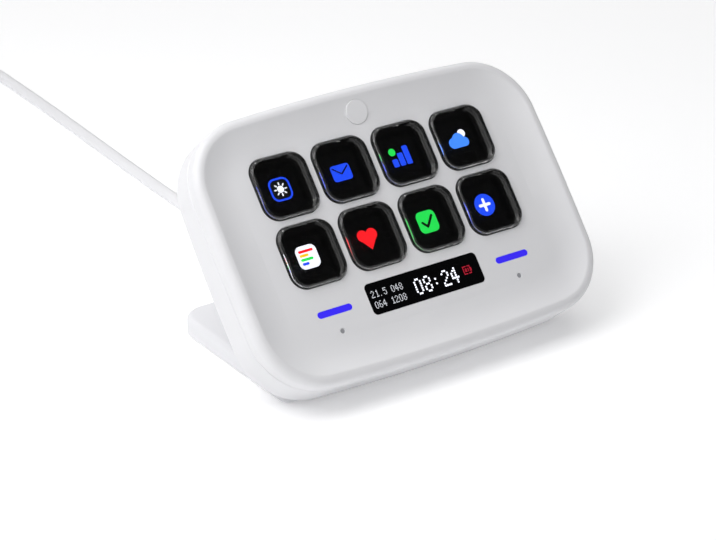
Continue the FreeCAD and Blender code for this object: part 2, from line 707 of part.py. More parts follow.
def back_edge_radius(level):
    """Returns the back edge's rounding where two of its arcs meet, by their height on the face."""
    if level > 0:
        return value("back_round")
    if level > value("corner_radius / 2 - face_height / 2"):
        return value("(back_round + heel_round) / 2")
    return value("heel_round")


def make_rear_shell():
    """Rear housing: rounded back, tongue, screw towers, stand bosses and the cord's hole."""
    body = new_body("rear_shell")
    body.BaseFeature = shell_blank()
    doc.recompute()
    tongue = "side_wall + tongue_gap"
    inside = f"{tongue} + tongue_thick"
    prism(body, "-seam_depth", "tongue_height - seam_depth", crowned_outline, tongue)
    cut(body, "-seam_depth - tongue_root", "tongue_height - seam_depth", crowned_outline, inside)
    cut(body, "back_wall - back_depth", "-seam_depth - tongue_root", crowned_outline, "side_wall")
    soften(body, "back_round - side_wall", level_edges("back_wall - back_depth"))
    embed = "back_wall / 2 - back_depth"
    prism(body, embed, "-case_boss_end", circles, "case_boss", *CASE_BOSSES)
    prism(body, embed, "back_wall + stand_boss_height - back_depth", circles, "stand_boss", *STAND_BOSSES)
    cut(body, f"-back_depth - {PAST}", f"{PAST} - case_boss_end",
        circles, "screw_radius + hole_gap", *CASE_BOSSES)
    cut(body, f"-back_depth - {PAST}", "case_head_depth - back_depth",
        circles, "head_radius + head_gap", *CASE_BOSSES)
    cut(body, f"-back_depth - {PAST}", "stand_screw_length + stand_head_depth - flange_thick"
        " - back_depth + pilot_gap", circles, "screw_radius + pilot_gap", *STAND_BOSSES)
    cut(body, f"-back_depth - {PAST}", f"{PAST} - back_depth + back_wall",
        circles, "sleeve_neck + sleeve_gap", ("0", "cord_exit"))
    on_face(body)
    keep(body)


def make_badge():
    """Plain raised disc in the place of a badge."""
    body = new_body("badge_disc")
    prism(body, "-badge_sink", "badge_proud", circles, "badge_radius", ("0", "0"))
    soften(body, "badge_edge", level_edges("badge_proud"))
    on_face(body, "0", "badge_rise", BADGE_LEVEL)
    tie(body, "Placement.Rotation.Angle", f"face_angle * 1 deg + {BADGE_SLOPE}")
    keep(body)


# Keys

def key_place(n):
    """Returns the place of key n on the face, counted from the upper left."""
    column, row = (n - 1) % 4, (n - 1) // 4
    return f"({column} - 1.5) * key_pitch", f"key_rise + (0.5 - {row}) * key_pitch"


def make_key_cap(n):
    """Clear block of a key with rounded upper edges, stepped in for its black skirt."""
    body = new_body(f"key_cap_{n}")
    core = "(key_size - 2 * skirt_wall - 2 * skirt_gap)"
    prism(body, "-key_step", "key_proud", rounded_rectangle, "key_size", "key_size", "key_corner")
    soften(body, "key_round", level_edges("key_proud"))
    prism(body, f"frame_thick + skirt_gap - {LIP_LOW}", "-key_step",
          rounded_rectangle, core, core, "key_corner - skirt_wall - skirt_gap")
    on_face(body, *key_place(n))
    keep(body)


def make_key_skirt(n):
    """Black skirt round a clear block, with a retaining lip and a windowed frame below."""
    body = new_body(f"key_mask_{n}")
    room = "(key_size - 2 * skirt_wall)"
    frame = f"frame_thick - {LIP_LOW}"
    prism(body, f"-{LIP_LOW}", "-key_step", rounded_rectangle, "key_size", "key_size", "key_corner")
    prism(body, f"-{LIP_LOW}", f"-{LIP_TOP}", rounded_rectangle, LIP_SIZE, LIP_SIZE, "key_corner + key_lip")
    cut(body, frame, f"{PAST} - key_step", rounded_rectangle, room, room, "key_corner - skirt_wall")
    cut(body, f"-{LIP_LOW} - {PAST}", frame,
        rounded_rectangle, "frame_window", "frame_window", "skirt_wall")
    on_face(body, *key_place(n))
    keep(body)


# Mat, screen and boards

def make_dome_mat():
    """Silicone mat with a collapsing collar and a window under each key."""
    body = new_body("dome_mat")
    width = f"({GRID_WIDTH} + 2 * key_lip + 2 * mat_margin)"
    height = f"({GRID_HEIGHT} + 2 * key_lip + mat_margin)"
    collar = f"({LIP_SIZE} - 2 * collar_inset)"
    window = f"({collar} - 2 * collar_wall)"
    prism(body, f"-{SCREEN_TOP}", f"-{MAT_TOP}",
          rounded_rectangle, width, height, "mat_margin", "0", "key_rise")
    ring = prism(body, f"-{MAT_TOP}", f"-{LIP_LOW}", rounded_rectangle,
                 collar, collar, "key_corner - collar_inset", *FIRST_KEY)
    key_grid(body, ring)
    hole = cut(body, f"-{SCREEN_TOP} - {PAST}", f"-{LIP_LOW}", rounded_rectangle,
               window, window, "key_corner - collar_inset - collar_wall", *FIRST_KEY)
    key_grid(body, hole)
    on_face(body)
    keep(body)


SCREEN_WIDTH = f"({GRID_WIDTH} + 2 * screen_margin)"
SCREEN_HEIGHT = f"({GRID_HEIGHT} + 2 * screen_margin)"


def make_screen():
    """The one screen behind all eight keys, with its narrower glass on top."""
    body = new_body("lcd_panel")
    step = "screen_thick / 2"
    prism(body, f"-{TRAY_FLOOR}", f"{step} - {TRAY_FLOOR}",
          rounded_rectangle, SCREEN_WIDTH, SCREEN_HEIGHT, "tray_wall", "0", "key_rise")
    glass = f"({SCREEN_WIDTH} - screen_margin)", f"({SCREEN_HEIGHT} - screen_margin)"
    prism(body, f"{step} - {TRAY_FLOOR}", f"-{SCREEN_TOP}",
          rounded_rectangle, *glass, "tray_wall", "0", "key_rise")
    on_face(body)
    keep(body)


def tray_ears(sketch):
    """Draws the tray's four screw ears, each joined to its side."""
    reach = f"({BOARD_SCREW_X} - {SCREEN_WIDTH} / 2 + ear_size)"
    for side in ("-", ""):
        for level in BOARD_SCREW_LEVELS:
            middle = f"{side}({BOARD_SCREW_X} + ear_size / 2 - {reach} / 2)"
            rounded_rectangle(sketch, reach, "ear_size", "ear_size / 4", middle, level)


def make_tray():
    """Sheet-metal tray that holds the screen and carries it on the bosses."""
    body = new_body("lcd_frame")
    room = "2 * tray_gap"
    outer = f"({SCREEN_WIDTH} + {room} + 2 * tray_wall)", f"({SCREEN_HEIGHT} + {room} + 2 * tray_wall)"
    inner = f"({SCREEN_WIDTH} + {room})", f"({SCREEN_HEIGHT} + {room})"
    prism(body, f"-{BOARD_TOP}", f"-{SCREEN_TOP}",
          rounded_rectangle, *outer, "2 * tray_wall", "0", "key_rise")
    cut(body, f"-{TRAY_FLOOR}", f"-{SCREEN_TOP}", rounded_rectangle, *inner, "tray_wall", "0", "key_rise")
    prism(body, f"-{BOARD_TOP}", f"-{TRAY_FLOOR}", tray_ears)
    cut(body, f"-{BOARD_TOP} - {PAST}", f"-{TRAY_FLOOR}", circles, "screw_radius + hole_gap", *BOARD_BOSSES)
    on_face(body)
    keep(body)


def make_main_board():
    """Circuit board under the tray, screwed to the same bosses."""
    body = new_body("main_board")
    prism(body, f"-{BOARD_LOW}", f"-{BOARD_TOP}",
          rounded_rectangle, BOARD_WIDTH, BOARD_HEIGHT, "board_corner")
    cut(body, f"-{BOARD_LOW} - {PAST}", f"-{BOARD_TOP}", circles, "screw_radius + hole_gap", *BOARD_BOSSES)
    on_face(body)
    keep(body)


# Chips under the board: middle x and y, width, height and thickness
CHIPS = (
    (-24.0, 8.0, 10.0, 10.0, 1.2),
    (-6.0, 14.0, 8.0, 6.0, 1.0),
    (18.0, 6.0, 12.0, 8.0, 1.4),
    (33.0, 10.0, 4.5, 4.5, 0.9),
    (-33.0, -12.0, 6.0, 5.0, 1.6),
    (2.0, -10.0, 7.0, 7.0, 1.0),
    (34.0, -16.0, 5.0, 3.2, 1.8),
    (-10.0, -18.0, 3.2, 2.5, 1.5),
    (12.0, -18.0, 3.2, 2.5, 1.5),
)


def make_board_parts():
    """Chips and coils under the board, the two side lights and the cord's header."""
    low, top = value(BOARD_LOW), value(BOARD_TOP)
    chips = [
        Part.makeBox(w, h, thick, Vector(x - w / 2, y - h / 2, -low - thick)) for x, y, w, h, thick in CHIPS
    ]
    solid_part("board_chips", Part.makeCompound(chips), on_face)
    led_w, led_h, led_t = value("bar_height * 2"), value("bar_height"), value("led_height")
    lights = [
        Part.makeBox(led_w, led_h, led_t,
                     Vector(side * value("bar_offset") - led_w / 2, value("-window_drop") - led_h / 2, -top))
        for side in (-1, 1)
    ]
    solid_part("side_leds", Part.makeCompound(lights), on_face)
    width, height, thick = (value(size) for size in ("header_width", "header_height", HEADER_THICK))
    wall, x, y = value("header_wall"), value("header_x"), value("header_y")
    header = Part.makeBox(width, height, thick, Vector(x - width / 2, y - height / 2, -low - thick))
    mouth = Part.makeBox(width - 2 * wall, height / 2, thick - 2 * wall,
                         Vector(x - width / 2 + wall, y - height / 2 - wall, wall - low - thick))
    solid_part("cord_header", header.cut(mouth), on_face)


def screw_group(label, centres, level, length):
    """Adds a group of equal pan-head screws whose heads sit at a level."""
    shank, head_r, head_h = value("screw_radius"), value("head_radius"), value("head_height")
    tip, arm, slot = shank * 0.6, head_r * 0.84, head_r * 0.21
    profile = [
        (0, 0), (head_r, 0), (head_r, -head_h * 0.55), (head_r * 0.75, -head_h), (0, -head_h),
    ]
    head = Part.Face(Part.makePolygon([Vector(r, 0, z) for r, z in profile + profile[:1]]))
    screw = head.revolve(Vector(), Vector(0, 0, 1), 360)
    screw = screw.fuse(Part.makeCylinder(shank, length - tip)).removeSplitter()
    screw = screw.fuse(Part.makeCone(shank, shank * 0.3, tip, Vector(0, 0, length - tip)))
    for turn in (0, 90):
        bar = Part.makeBox(arm, slot, head_h / 2, Vector(-arm / 2, -slot / 2, -head_h))
        bar.rotate(Vector(), Vector(0, 0, 1), turn)
        screw = screw.cut(bar)
    group = []
    for x, y in centres:
        one = screw.copy()
        one.translate(Vector(value(x), value(y), level))
        group.append(one)
    solid_part(label, Part.makeCompound(group), on_face)


def make_screws():
    """Board, case and stand screws, all put in from the back."""
    screw_group("board_screws", BOARD_BOSSES, -value(BOARD_LOW), value("board_screw_length"))
    case_level = value("case_head_depth - back_depth")
    screw_group("case_screws", CASE_BOSSES, case_level, value("case_screw_length"))
    stand_level = value("stand_head_depth - flange_thick - back_depth")
    screw_group("stand_screws", STAND_BOSSES, stand_level, value("stand_screw_length"))


# Information window, lit bars and touch sensors

def make_window():
    """Window pane on its ledge, and the display module behind it."""
    pane = new_body("info_window")
    size = "(window_width - 2 * pane_gap)", "(window_height - 2 * pane_gap)", "window_corner - pane_gap"
    prism(pane, "-window_thick", "0", rounded_rectangle, *size, "0", "-window_drop")
    on_face(pane)
    keep(pane)
    module = new_body("info_display")
    prism(module, "-floor_thick - display_thick", "-floor_thick", rounded_rectangle,
          "display_width", "display_height", "window_corner / 2", "0", "-window_drop")
    on_face(module)
    keep(module)


def make_light_guide(label, side):
    """Light guide: flush bar, flange under the floor and a stem down to its light."""
    body = new_body(label)
    place = f"{side}bar_offset", "-window_drop"
    bar = "(bar_length - 2 * bar_gap)", "(bar_height - 2 * bar_gap)"
    flange = "(bar_length + 2 * bar_flange)", "(bar_height + 2 * bar_flange)"
    seat = "floor_thick + bar_flange_thick"
    prism(body, "-floor_thick", "0", stadium, *bar, *place)
    prism(body, f"-({seat})", "-floor_thick", stadium, *flange, *place)
    prism(body, f"led_height + led_gap - {BOARD_TOP}", f"-({seat})", stadium, *bar, *place)
    on_face(body)
    keep(body)


def make_touch_pad(label, side):
    """Touch sensor glued under the floor behind its dimple."""
    body = new_body(label)
    prism(body, "-floor_thick - touch_thick", "-floor_thick", circles,
          "touch_radius", (f"{side}bar_offset", "-dimple_drop"))
    on_face(body)
    keep(body)


# Foot

def lean_sketch(body):
    """Returns a sketch across the body's middle whose axes are the face frame's y and z."""
    sketch = new_sketch(body, plane="YZ_Plane")
    sketch.AttachmentOffset = Placement(Vector(), Rotation(Vector(0, 0, 1), 1))
    tie(sketch, "AttachmentOffset.Base.x", FACE_Y)
    tie(sketch, "AttachmentOffset.Base.y", FACE_Z)
    tie(sketch, "AttachmentOffset.Rotation.Angle", "face_angle")
    return sketch


def symmetric(feature, sketch, width):
    """Spreads a pad or pocket evenly to both sides of its sketch."""
    settle(sketch)
    feature.Profile = sketch
    feature.SideType = "Symmetric"
    tie(feature, "Length", width)
    doc.recompute()


def housing_section(sketch):
    """Draws the housing's lower section, so that the foot is cut to fit it."""
    reach, front = "flange_top + flange_corner", "rim_height"
    low = "(heel_round - face_height / 2)"
    spots = [("-back_depth", reach), ("-back_depth", low)]
    spots += [("heel_round - back_depth", "-face_height / 2"), (front, "-face_height / 2"), (front, reach)]
    a, b, c, d, e = (Vector(value(y), value(z), 0) for z, y in spots)
    sketch.addGeometry(Part.LineSegment(a, b))
    centre = (value(low), value("heel_round - back_depth"))
    sketch.addGeometry(arc_of(centre, value("heel_round"), math.pi, 1.5 * math.pi))
    sketch.addGeometry(Part.LineSegment(c, d))
    sketch.addGeometry(Part.LineSegment(d, e))
    sketch.addGeometry(Part.LineSegment(e, a))
    hold(sketch, "Tangent", 0, 2, 1, 2)
    hold(sketch, "Tangent", 1, 1, 2, 1)
    for n in (2, 3, 4):
        hold(sketch, "Coincident", n, 2, (n + 1) % 5, 1)
    hold(sketch, "Radius", 1, name="round", text="heel_round")
    hold(sketch, "Horizontal", 0)
    hold(sketch, "Vertical", 2)
    hold(sketch, "Horizontal", 3)
    hold(sketch, "Vertical", 4)
    hold(sketch, "DistanceX", -1, 1, 0, 1, name="reach", text=reach)
    hold(sketch, "DistanceY", -1, 1, 0, 1, name="back", text="-back_depth")
    hold(sketch, "DistanceX", -1, 1, 2, 1, name="low", text="-face_height / 2")
    hold(sketch, "DistanceY", -1, 1, 3, 1, name="front", text=front)


def make_stand_foot():
    """Foot plate with an upright flange, cut to seat the housing's rounded back edge."""
    body = new_body("stand_foot")
    half, back, front = "foot_width / 2", "overall_depth / 2", "-foot_front"
    corners = (f"-{half}", front), (half, front), (half, back), (f"-{half}", back)
    prism(body, "pad_proud", "foot_height", polygon, *corners)
    back_y = value(back)
    soften(body, "foot_back_corner", lambda box: upright_edges(box) and near(box.YMax, back_y))
    soften(body, "foot_front_corner", lambda box: upright_edges(box) and near(box.YMin, value(front)))
    soften(body, "foot_edge", level_edges("foot_height"))
    flange_sketch = lean_sketch(body)
    outer = "-back_depth - flange_thick"
    low = "back_round - face_height / 2"
    polygon(flange_sketch, (low, "-back_depth"), (low, outer),
            ("flange_top", outer), ("flange_top", "-back_depth"))
    flange = body.newObject("PartDesign::Pad", "foot_flange")
    symmetric(flange, flange_sketch, "flange_width")
    seat = body.newObject("PartDesign::Pocket", "housing_seat")
    section = lean_sketch(body)
    housing_section(section)
    symmetric(seat, section, "2 * foot_width")
    soften_flange(body)
    foot_screw_holes(body)
    pad_length = "overall_depth / 2 - pad_inset + pad_front"
    pad_middle = "(overall_depth / 2 - pad_inset - pad_front) / 2"
    recess = "pad_thick"
    cut(body, "0", recess, rounded_rectangle, "(foot_width - 2 * pad_inset)", f"({pad_length})",
        "pad_corner", "0", pad_middle)
    cut(body, "0", f"{recess} + ballast_thick + pad_gap", rounded_rectangle,
        "(foot_width - 2 * pad_inset - 2 * ballast_inset)", f"({pad_length} - 2 * ballast_inset)",
        "ballast_corner", "0", pad_middle)
    keep(body)
    make_foot_fillings(pad_length, pad_middle)


def soften_flange(body):
    """Rounds the flange's top corners and the hollow where it meets the foot."""
    top = face_point(0, value("flange_top"), value("-back_depth"))
    half = value("flange_width / 2")
    thick = value("flange_thick")
    soften(body, "flange_corner", lambda box: near(box.XMax, box.XMin) and near(abs(box.XMax), half)
           and near(box.ZMax, top.z) and box.YLength > 0.1 and box.ZLength < thick)
    rear = face_point(0, 0, value("-back_depth - flange_thick"))
    level = value("foot_height")
    slope = math.radians(value("face_angle"))
    meet = rear.y - (rear.z - level) / math.tan(slope)
    soften(body, "flange_root", lambda box: near(box.YMin, meet, 0.01) and near(box.YMax, meet, 0.01)
           and near(box.ZMax, level, 0.01) and box.XLength > half)


def foot_screw_holes(body):
    """Drills the flange for the stand screws, square to it, with counterbores."""
    rear = "-back_depth - flange_thick"
    for x, y in STAND_BOSSES:
        for radius, start, length in (
            ("screw_radius + hole_gap", rear, "flange_thick"),
            ("head_radius + head_gap", f"{rear} - {PAST}", f"stand_head_depth + {PAST}"),
        ):
            drill = body.newObject("PartDesign::SubtractiveCylinder", "stand_hole")
            on_face(drill, x, y, start)
            tie(drill, "Radius", radius)
            tie(drill, "Height", length)
            doc.recompute()


def make_foot_fillings(pad_length, pad_middle):
    """Steel plate and rubber pad in the foot's underside."""
    plate = new_body("ballast_plate")
    prism(plate, "pad_thick", "pad_thick + ballast_thick", rounded_rectangle,
          "(foot_width - 2 * pad_inset - 2 * ballast_inset - 2 * pad_gap)",
          f"({pad_length} - 2 * ballast_inset - 2 * pad_gap)", "ballast_corner - pad_gap", "0", pad_middle)
    keep(plate)
    pad = new_body("base_pad")
    prism(pad, "0", "pad_thick", rounded_rectangle, "(foot_width - 2 * pad_inset - 2 * pad_gap)",
          f"({pad_length} - 2 * pad_gap)", "pad_corner - pad_gap", "0", pad_middle)
    keep(pad)


# Cord

def sleeve_side():
    """Returns the profile of the sleeve's tapered side, from its tip back, with ring grooves."""
    taper = "(sleeve_radius - sleeve_tip) / (sleeve_length - sleeve_neck)"
    side = []
    for n in range(int(value("groove_count")), 0, -1):
        for shift in ("+", "-"):
            place = f"(groove_pitch * {n} {shift} groove_width / 2)"
            ridge = f"sleeve_radius - {taper} * {place}"
            groove = (f"{ridge} - groove_depth", f"-back_depth - sleeve_neck - {place}")
            corners = [(ridge, groove[1]), groove]
            side += corners if shift == "+" else corners[::-1]
    return side


def make_sleeve():
    """Soft tapered sleeve through the back wall, with its flange inside, and the crimp."""
    sleeve = new_body("strain_relief")
    inner = "back_wall - back_depth"
    spin(
        sleeve,
        ("0", f"{inner} + sleeve_flange_thick"),
        ("0", "-back_depth - sleeve_length"),
        ("sleeve_tip", "-back_depth - sleeve_length"),
        *sleeve_side(),
        ("sleeve_radius", "-back_depth - sleeve_neck"),
        ("sleeve_radius", "-back_depth"),
        ("sleeve_neck", "-back_depth"),
        ("sleeve_neck", inner),
        ("sleeve_flange", inner),
        ("sleeve_flange", f"{inner} + sleeve_flange_thick"),
    )
    on_face(sleeve, "0", "cord_exit")
    keep(sleeve)
    clamp = new_body("cord_clamp")
    level = f"{inner} + sleeve_flange_thick"
    prism(clamp, level, f"{level} + clamp_length", circles, "clamp_radius", ("0", "0"))
    on_face(clamp, "0", "cord_exit")
    keep(clamp)


def rounded_path(points, name):
    """Returns a wire of straight runs joined by tangent arcs, each as large as its runs allow."""
    edges, radii, start = [], [], points[0]
    for before, corner, after in zip(points, points[1:], points[2:]):
        inward, outward = (before - corner).normalize(), (after - corner).normalize()
        turn = math.pi - inward.getAngle(outward)
        shorter = min((before - corner).Length, (after - corner).Length)
        reach = 0.45 * shorter
        radii.append(reach / math.tan(turn / 2))
        first, last = corner + inward * reach, corner + outward * reach
        middle = corner + (inward + outward).normalize() * radii[-1] * (1 / math.cos(turn / 2) - 1)
        edges.append(Part.LineSegment(start, first).toShape())
        edges.append(Part.Arc(first, middle, last).toShape())
        start = last
    edges.append(Part.LineSegment(start, points[-1]).toShape())
    print(f"{name}: bend radii", [round(r, 1) for r in radii])
    return Part.Wire(edges)


def tube(path, start, heading):
    """Returns the cord's round section swept along a path, and compares its volume."""
    radius = value("cord_radius")
    section = Part.Wire(Part.Circle(start, heading, radius).toShape())
    shape = path.makePipeShell([section], True, False)
    expected = math.pi * radius**2 * path.Length
    print(f"tube length {path.Length:.1f}, volume {shape.Volume:.1f}, section x length {expected:.1f}")
    return shape


def make_cord():
    """Free cord from the sleeve's end back along the desk to the coil."""
    start = face_point(0, value("cord_exit"), value("-back_depth - sleeve_length"))
    points = [start] + [Vector(*p) for p in CORD_ROUTE] + [Vector(*COIL_START)]
    path = rounded_path(points, "cord")
    solid_part("cord", tube(path, start, points[1] - points[0]))
    return path.Length


def half_turn(start, side, radius):
    """Returns a level half turn, counter-clockwise, from a point right or left of the middle."""
    middle = start + Vector(-side * radius, side * radius, 0)
    end = start + Vector(-2 * side * radius, 0, 0)
    return [Part.Arc(start, middle, end).toShape()], end


def climbing_half_turn(start, radius, climb):
    """Returns a half turn that climbs, as two quarter arcs that meet in one tangent."""
    centre = start - Vector(radius, 0, 0)
    bulge = math.sqrt(radius**2 + (climb / 2) ** 2)
    middle = centre + Vector(0, bulge, climb / 2)
    end = centre + Vector(-radius, 0, climb)
    first = arc_from(start, Vector(0, 1, 0), middle)
    last = arc_into(middle, Vector(0, -1, 0), end)
    return [first, last], end


def bend(start, heading, end):
    """Returns the middle of the arc that leaves start along heading and reaches end."""
    chord = end - start
    across = (chord - heading * chord.dot(heading)).normalize()
    radius = chord.Length**2 / (2 * chord.dot(across))
    centre = start + across * radius
    return centre + ((start - centre) + (end - centre)).normalize() * radius


def arc_from(start, heading, end):
    """Returns the arc that leaves start along heading and reaches end."""
    return Part.Arc(start, bend(start, heading, end), end).toShape()


def arc_into(start, heading, end):
    """Returns the arc that leaves start and reaches end along heading."""
    return Part.Arc(start, bend(end, -heading, start), end).toShape()


def coil_path():
    """Returns the coil's centre line: in along the desk, out on top, then down to the plug."""
    diameter = 2 * value("cord_radius")
    step, turns = value("coil_step"), int(value("coil_turns"))
    point = Vector(*COIL_START)
    entry = point + Vector(0, diameter, 0)
    edges, point, radius = [Part.LineSegment(point, entry).toShape()], entry, value("coil_radius")
    for n in range(2 * turns):
        piece, point = half_turn(point, 1 if n % 2 == 0 else -1, radius)
        edges += piece
        radius -= step / 2
    piece, point = climbing_half_turn(point, radius, step)
    edges += piece
    for n in range(2 * turns):
        radius += step / 2
        piece, point = half_turn(point, -1 if n % 2 == 0 else 1, radius)
        edges += piece
    return edges, point


def make_coil():
    """Put-away length of the cord, wound in two layers, and the plug beside it."""
    diameter = 2 * value("cord_radius")
    edges, point = coil_path()
    lead, slope = 1.2 * diameter, 6 * diameter
    plug_axis = value("plug_height / 2")
    drop = point.z - plug_axis
    first = point + Vector(0, -lead, 0)
    middle = first + Vector(0, -slope / 2, -drop / 2)
    last = first + Vector(0, -slope, -drop)
    end = last + Vector(0, -diameter, 0)
    edges.append(Part.LineSegment(point, first).toShape())
    edges.append(arc_from(first, Vector(0, -1, 0), middle))
    edges.append(arc_into(middle, Vector(0, -1, 0), last))
    edges.append(Part.LineSegment(last, end).toShape())
    path = Part.Wire(Part.__sortEdges__(edges))
    print(f"coil: least gap to itself {least_gap(edges):.2f}")
    solid_part("cord_coil", tube(path, Vector(*COIL_START), Vector(0, 1, 0)))
    make_plug(end)
    return path.Length


def least_gap(edges):
    """Returns the least gap between turns of the coil, measured on points of its middle line."""
    diameter, spacing = 2 * value("cord_radius"), 2.0
    spots, run = [], 0.0
    for edge in edges:
        count = max(2, int(edge.Length / spacing))
        for n in range(count):
            spots.append((run + edge.Length * n / count, point_along(edge, n / count)))
        run += edge.Length
    closest = min(
        (a - b).Length
        for i, (s, a) in enumerate(spots)
        for t, b in spots[i + 1:]
        if t - s > 4 * diameter
    )
    return closest - diameter


def point_along(edge, share):
    """Returns a point at a share of an edge's length."""
    low, high = edge.FirstParameter, edge.LastParameter
    return edge.valueAt(low + (high - low) * share)


def make_plug(end):
    """Plug beside the coil: a moulded grip and a metal shell with its contact tongue."""
    grip = new_body("plug_grip")
    prism(grip, "0", "plug_length", rounded_rectangle, "plug_width", "plug_height", "plug_corner")
    soften(grip, "plug_corner / 2", level_edges("0"))
    shell = new_body("plug_shell")
    prism(shell, "plug_length", "plug_length + shell_length", stadium, "shell_width", "shell_height")
    cut(shell, "plug_length + shell_wall", "plug_length + shell_length", stadium,
        "(shell_width - 2 * shell_wall)", "(shell_height - 2 * shell_wall)")
    prism(shell, "plug_length", "plug_length + shell_length - 2 * shell_wall", rounded_rectangle,
          "(shell_width - 6 * shell_wall)", "(2 * shell_wall)", "shell_wall / 2")
    for body in (grip, shell):
        body.Placement = Placement(end, Rotation(Vector(1, 0, 0), 90))
        keep(body)


# Checks and export

def check_document():
    """Stops where an object failed or a part's shape is missing or broken."""
    doc.recompute()
    for item in doc.Objects:
        if {"Invalid", "Error"} & set(item.State):
            raise ValueError(f"{item.Label} failed: {item.State}")
    for part in parts:
        if part.Shape.isNull() or not part.Shape.isValid() or not part.Shape.Solids:
            raise ValueError(f"{part.Label} has no valid shape")


def write_parts():
    """Writes each part to a file of its own."""
    os.makedirs("parts", exist_ok=True)
    for part in parts:
        part.Shape.exportStep(f"parts/{part.Label}.step")
    print(f"{len(parts)} parts written")


fill_sheet()
make_front_bezel()
make_rear_shell()
make_badge()
for number in range(1, 9):
    make_key_cap(number)
    make_key_skirt(number)
make_dome_mat()
make_screen()
make_tray()
make_main_board()
make_board_parts()
make_screws()
make_window()
for name, sign in (("left", "-"), ("right", "")):
    make_light_guide(f"light_bar_{name}", sign)
    make_touch_pad(f"touch_pad_{name}", sign)
make_stand_foot()
make_sleeve()
cord_length = make_cord() + make_coil()
print(f"whole cord {cord_length:.0f} mm")
check_document()
write_parts()
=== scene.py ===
# A leaning desk keypad: matte white housing, clear screen keys, a narrow information window,
# lit bars, a flat foot and a thin cord. Everything is in metres, in the part's own frame, and a
# name that ends in _mm holds millimetres.
# The face frame lies in the floor of the dish: x to the right, y up the slope, z outwards.

import json
import logging
import math
from dataclasses import dataclass, field
from enum import Enum

import bmesh
import bpy
from mathutils import Matrix, Vector


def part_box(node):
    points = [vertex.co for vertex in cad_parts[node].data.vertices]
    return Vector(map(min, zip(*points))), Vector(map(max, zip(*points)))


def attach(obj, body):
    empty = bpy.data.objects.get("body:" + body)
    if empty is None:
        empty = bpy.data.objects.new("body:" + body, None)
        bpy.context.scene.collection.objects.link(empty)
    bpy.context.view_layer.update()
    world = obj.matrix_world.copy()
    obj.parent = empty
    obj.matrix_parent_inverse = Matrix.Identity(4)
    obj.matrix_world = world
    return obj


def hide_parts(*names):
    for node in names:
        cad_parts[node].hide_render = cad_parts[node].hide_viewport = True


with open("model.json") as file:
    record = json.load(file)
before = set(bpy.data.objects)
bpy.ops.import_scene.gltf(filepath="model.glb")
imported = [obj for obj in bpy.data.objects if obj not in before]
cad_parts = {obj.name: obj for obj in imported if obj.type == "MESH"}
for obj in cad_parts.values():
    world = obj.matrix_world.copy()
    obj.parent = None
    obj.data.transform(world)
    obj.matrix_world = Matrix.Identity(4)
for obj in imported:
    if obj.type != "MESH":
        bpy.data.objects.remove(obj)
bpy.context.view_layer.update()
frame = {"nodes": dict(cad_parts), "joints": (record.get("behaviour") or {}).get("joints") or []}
LOG = logging.getLogger("keypad")
MM = 0.001
KEY_NUMBERS = range(1, 9)

Point = tuple[float, float]
Place = tuple[float, float, float]
Colour = tuple[float, float, float, float]
Tree, Node, Socket = bpy.types.NodeTree, bpy.types.Node, bpy.types.NodeSocket
Mesh, Material, Object = bpy.types.Mesh, bpy.types.Material, bpy.types.Object


# Shared helpers


def linear(code: str) -> Colour:
    """Turns an sRGB hex colour into the linear values that shaders take.

    Args:
        code: six hex digits.

    Returns:
        Red, green, blue and an alpha of one.
    """
    parts = [int(code[n:n + 2], 16) / 255 for n in (0, 2, 4)]
    return (*(c / 12.92 if c <= 0.04045 else ((c + 0.055) / 1.055) ** 2.4 for c in parts), 1.0)


def add(tree: Tree, kind: str, settings: dict | None = None) -> Node:
    """Adds a node with its settings and links.

    Args:
        tree: the tree that gets the node.
        kind: the node's type.
        settings: values by name. A lower-case name is a property, and any other name or number
            is an input socket, which takes a value or the output socket to link from.

    Returns:
        The new node.
    """
    node = tree.nodes.new(kind)
    for name, item in (settings or {}).items():
        if isinstance(name, str) and name[0].islower():
            setattr(node, name, item)
        elif isinstance(item, Socket):
            tree.links.new(item, node.inputs[name])
        else:
            node.inputs[name].default_value = item
    return node


def noise(tree: Tree, place: Socket, size_mm: float, detail: float) -> Socket:
    """Adds a noise.

    Args:
        tree: the tree that gets it.
        place: the coordinates.
        size_mm: the size of its spots.
        detail: how many finer layers it has.

    Returns:
        Its value, from zero to one.
    """
    settings = {"Scale": 1 / (size_mm * MM), "Detail": detail, "Vector": place}
    return add(tree, "ShaderNodeTexNoise", settings).outputs["Fac"]


def remap(tree: Tree, value: Socket, given: Point, wanted: Point, settings: dict | None = None) -> Socket:
    """Adds a change of range.

    Args:
        tree: the tree that gets it.
        value: the value to change.
        given: the ends of the range that it comes in.
        wanted: the ends of the range that it leaves in.
        settings: other settings, by name.

    Returns:
        The changed value.
    """
    ends = {"Value": value, 1: given[0], 2: given[1], 3: wanted[0], 4: wanted[1]}
    return add(tree, "ShaderNodeMapRange", {**(settings or {}), **ends}).outputs["Result"]


def new_material(name: str, even: dict) -> tuple[Material, Node]:
    """Makes a material.

    Args:
        name: its name.
        even: the shader's values that are the same all over.

    Returns:
        The material and its shader.
    """
    material = bpy.data.materials.new(name)
    material.use_nodes = True
    shader = material.node_tree.nodes["Principled BSDF"]
    for socket, item in even.items():
        shader.inputs[socket].default_value = item
    return material, shader


def new_object(name: str, data: bpy.types.ID) -> Object:
    """Makes an object and puts it in the scene.

    Args:
        name: its name.
        data: its mesh, curve, light or camera.

    Returns:
        The object.
    """
    item = bpy.data.objects.new(name, data)
    bpy.context.scene.collection.objects.link(item)
    return item


def reach(node: str, along: Vector) -> Point:
    """Gives how far a node of the frame reaches along a direction.

    Args:
        node: the node's name.
        along: a unit vector.

    Returns:
        The lowest and the highest distance from the origin.
    """
    spans = [vertex.co.dot(along) for vertex in frame["nodes"][node].data.vertices]
    return min(spans), max(spans)


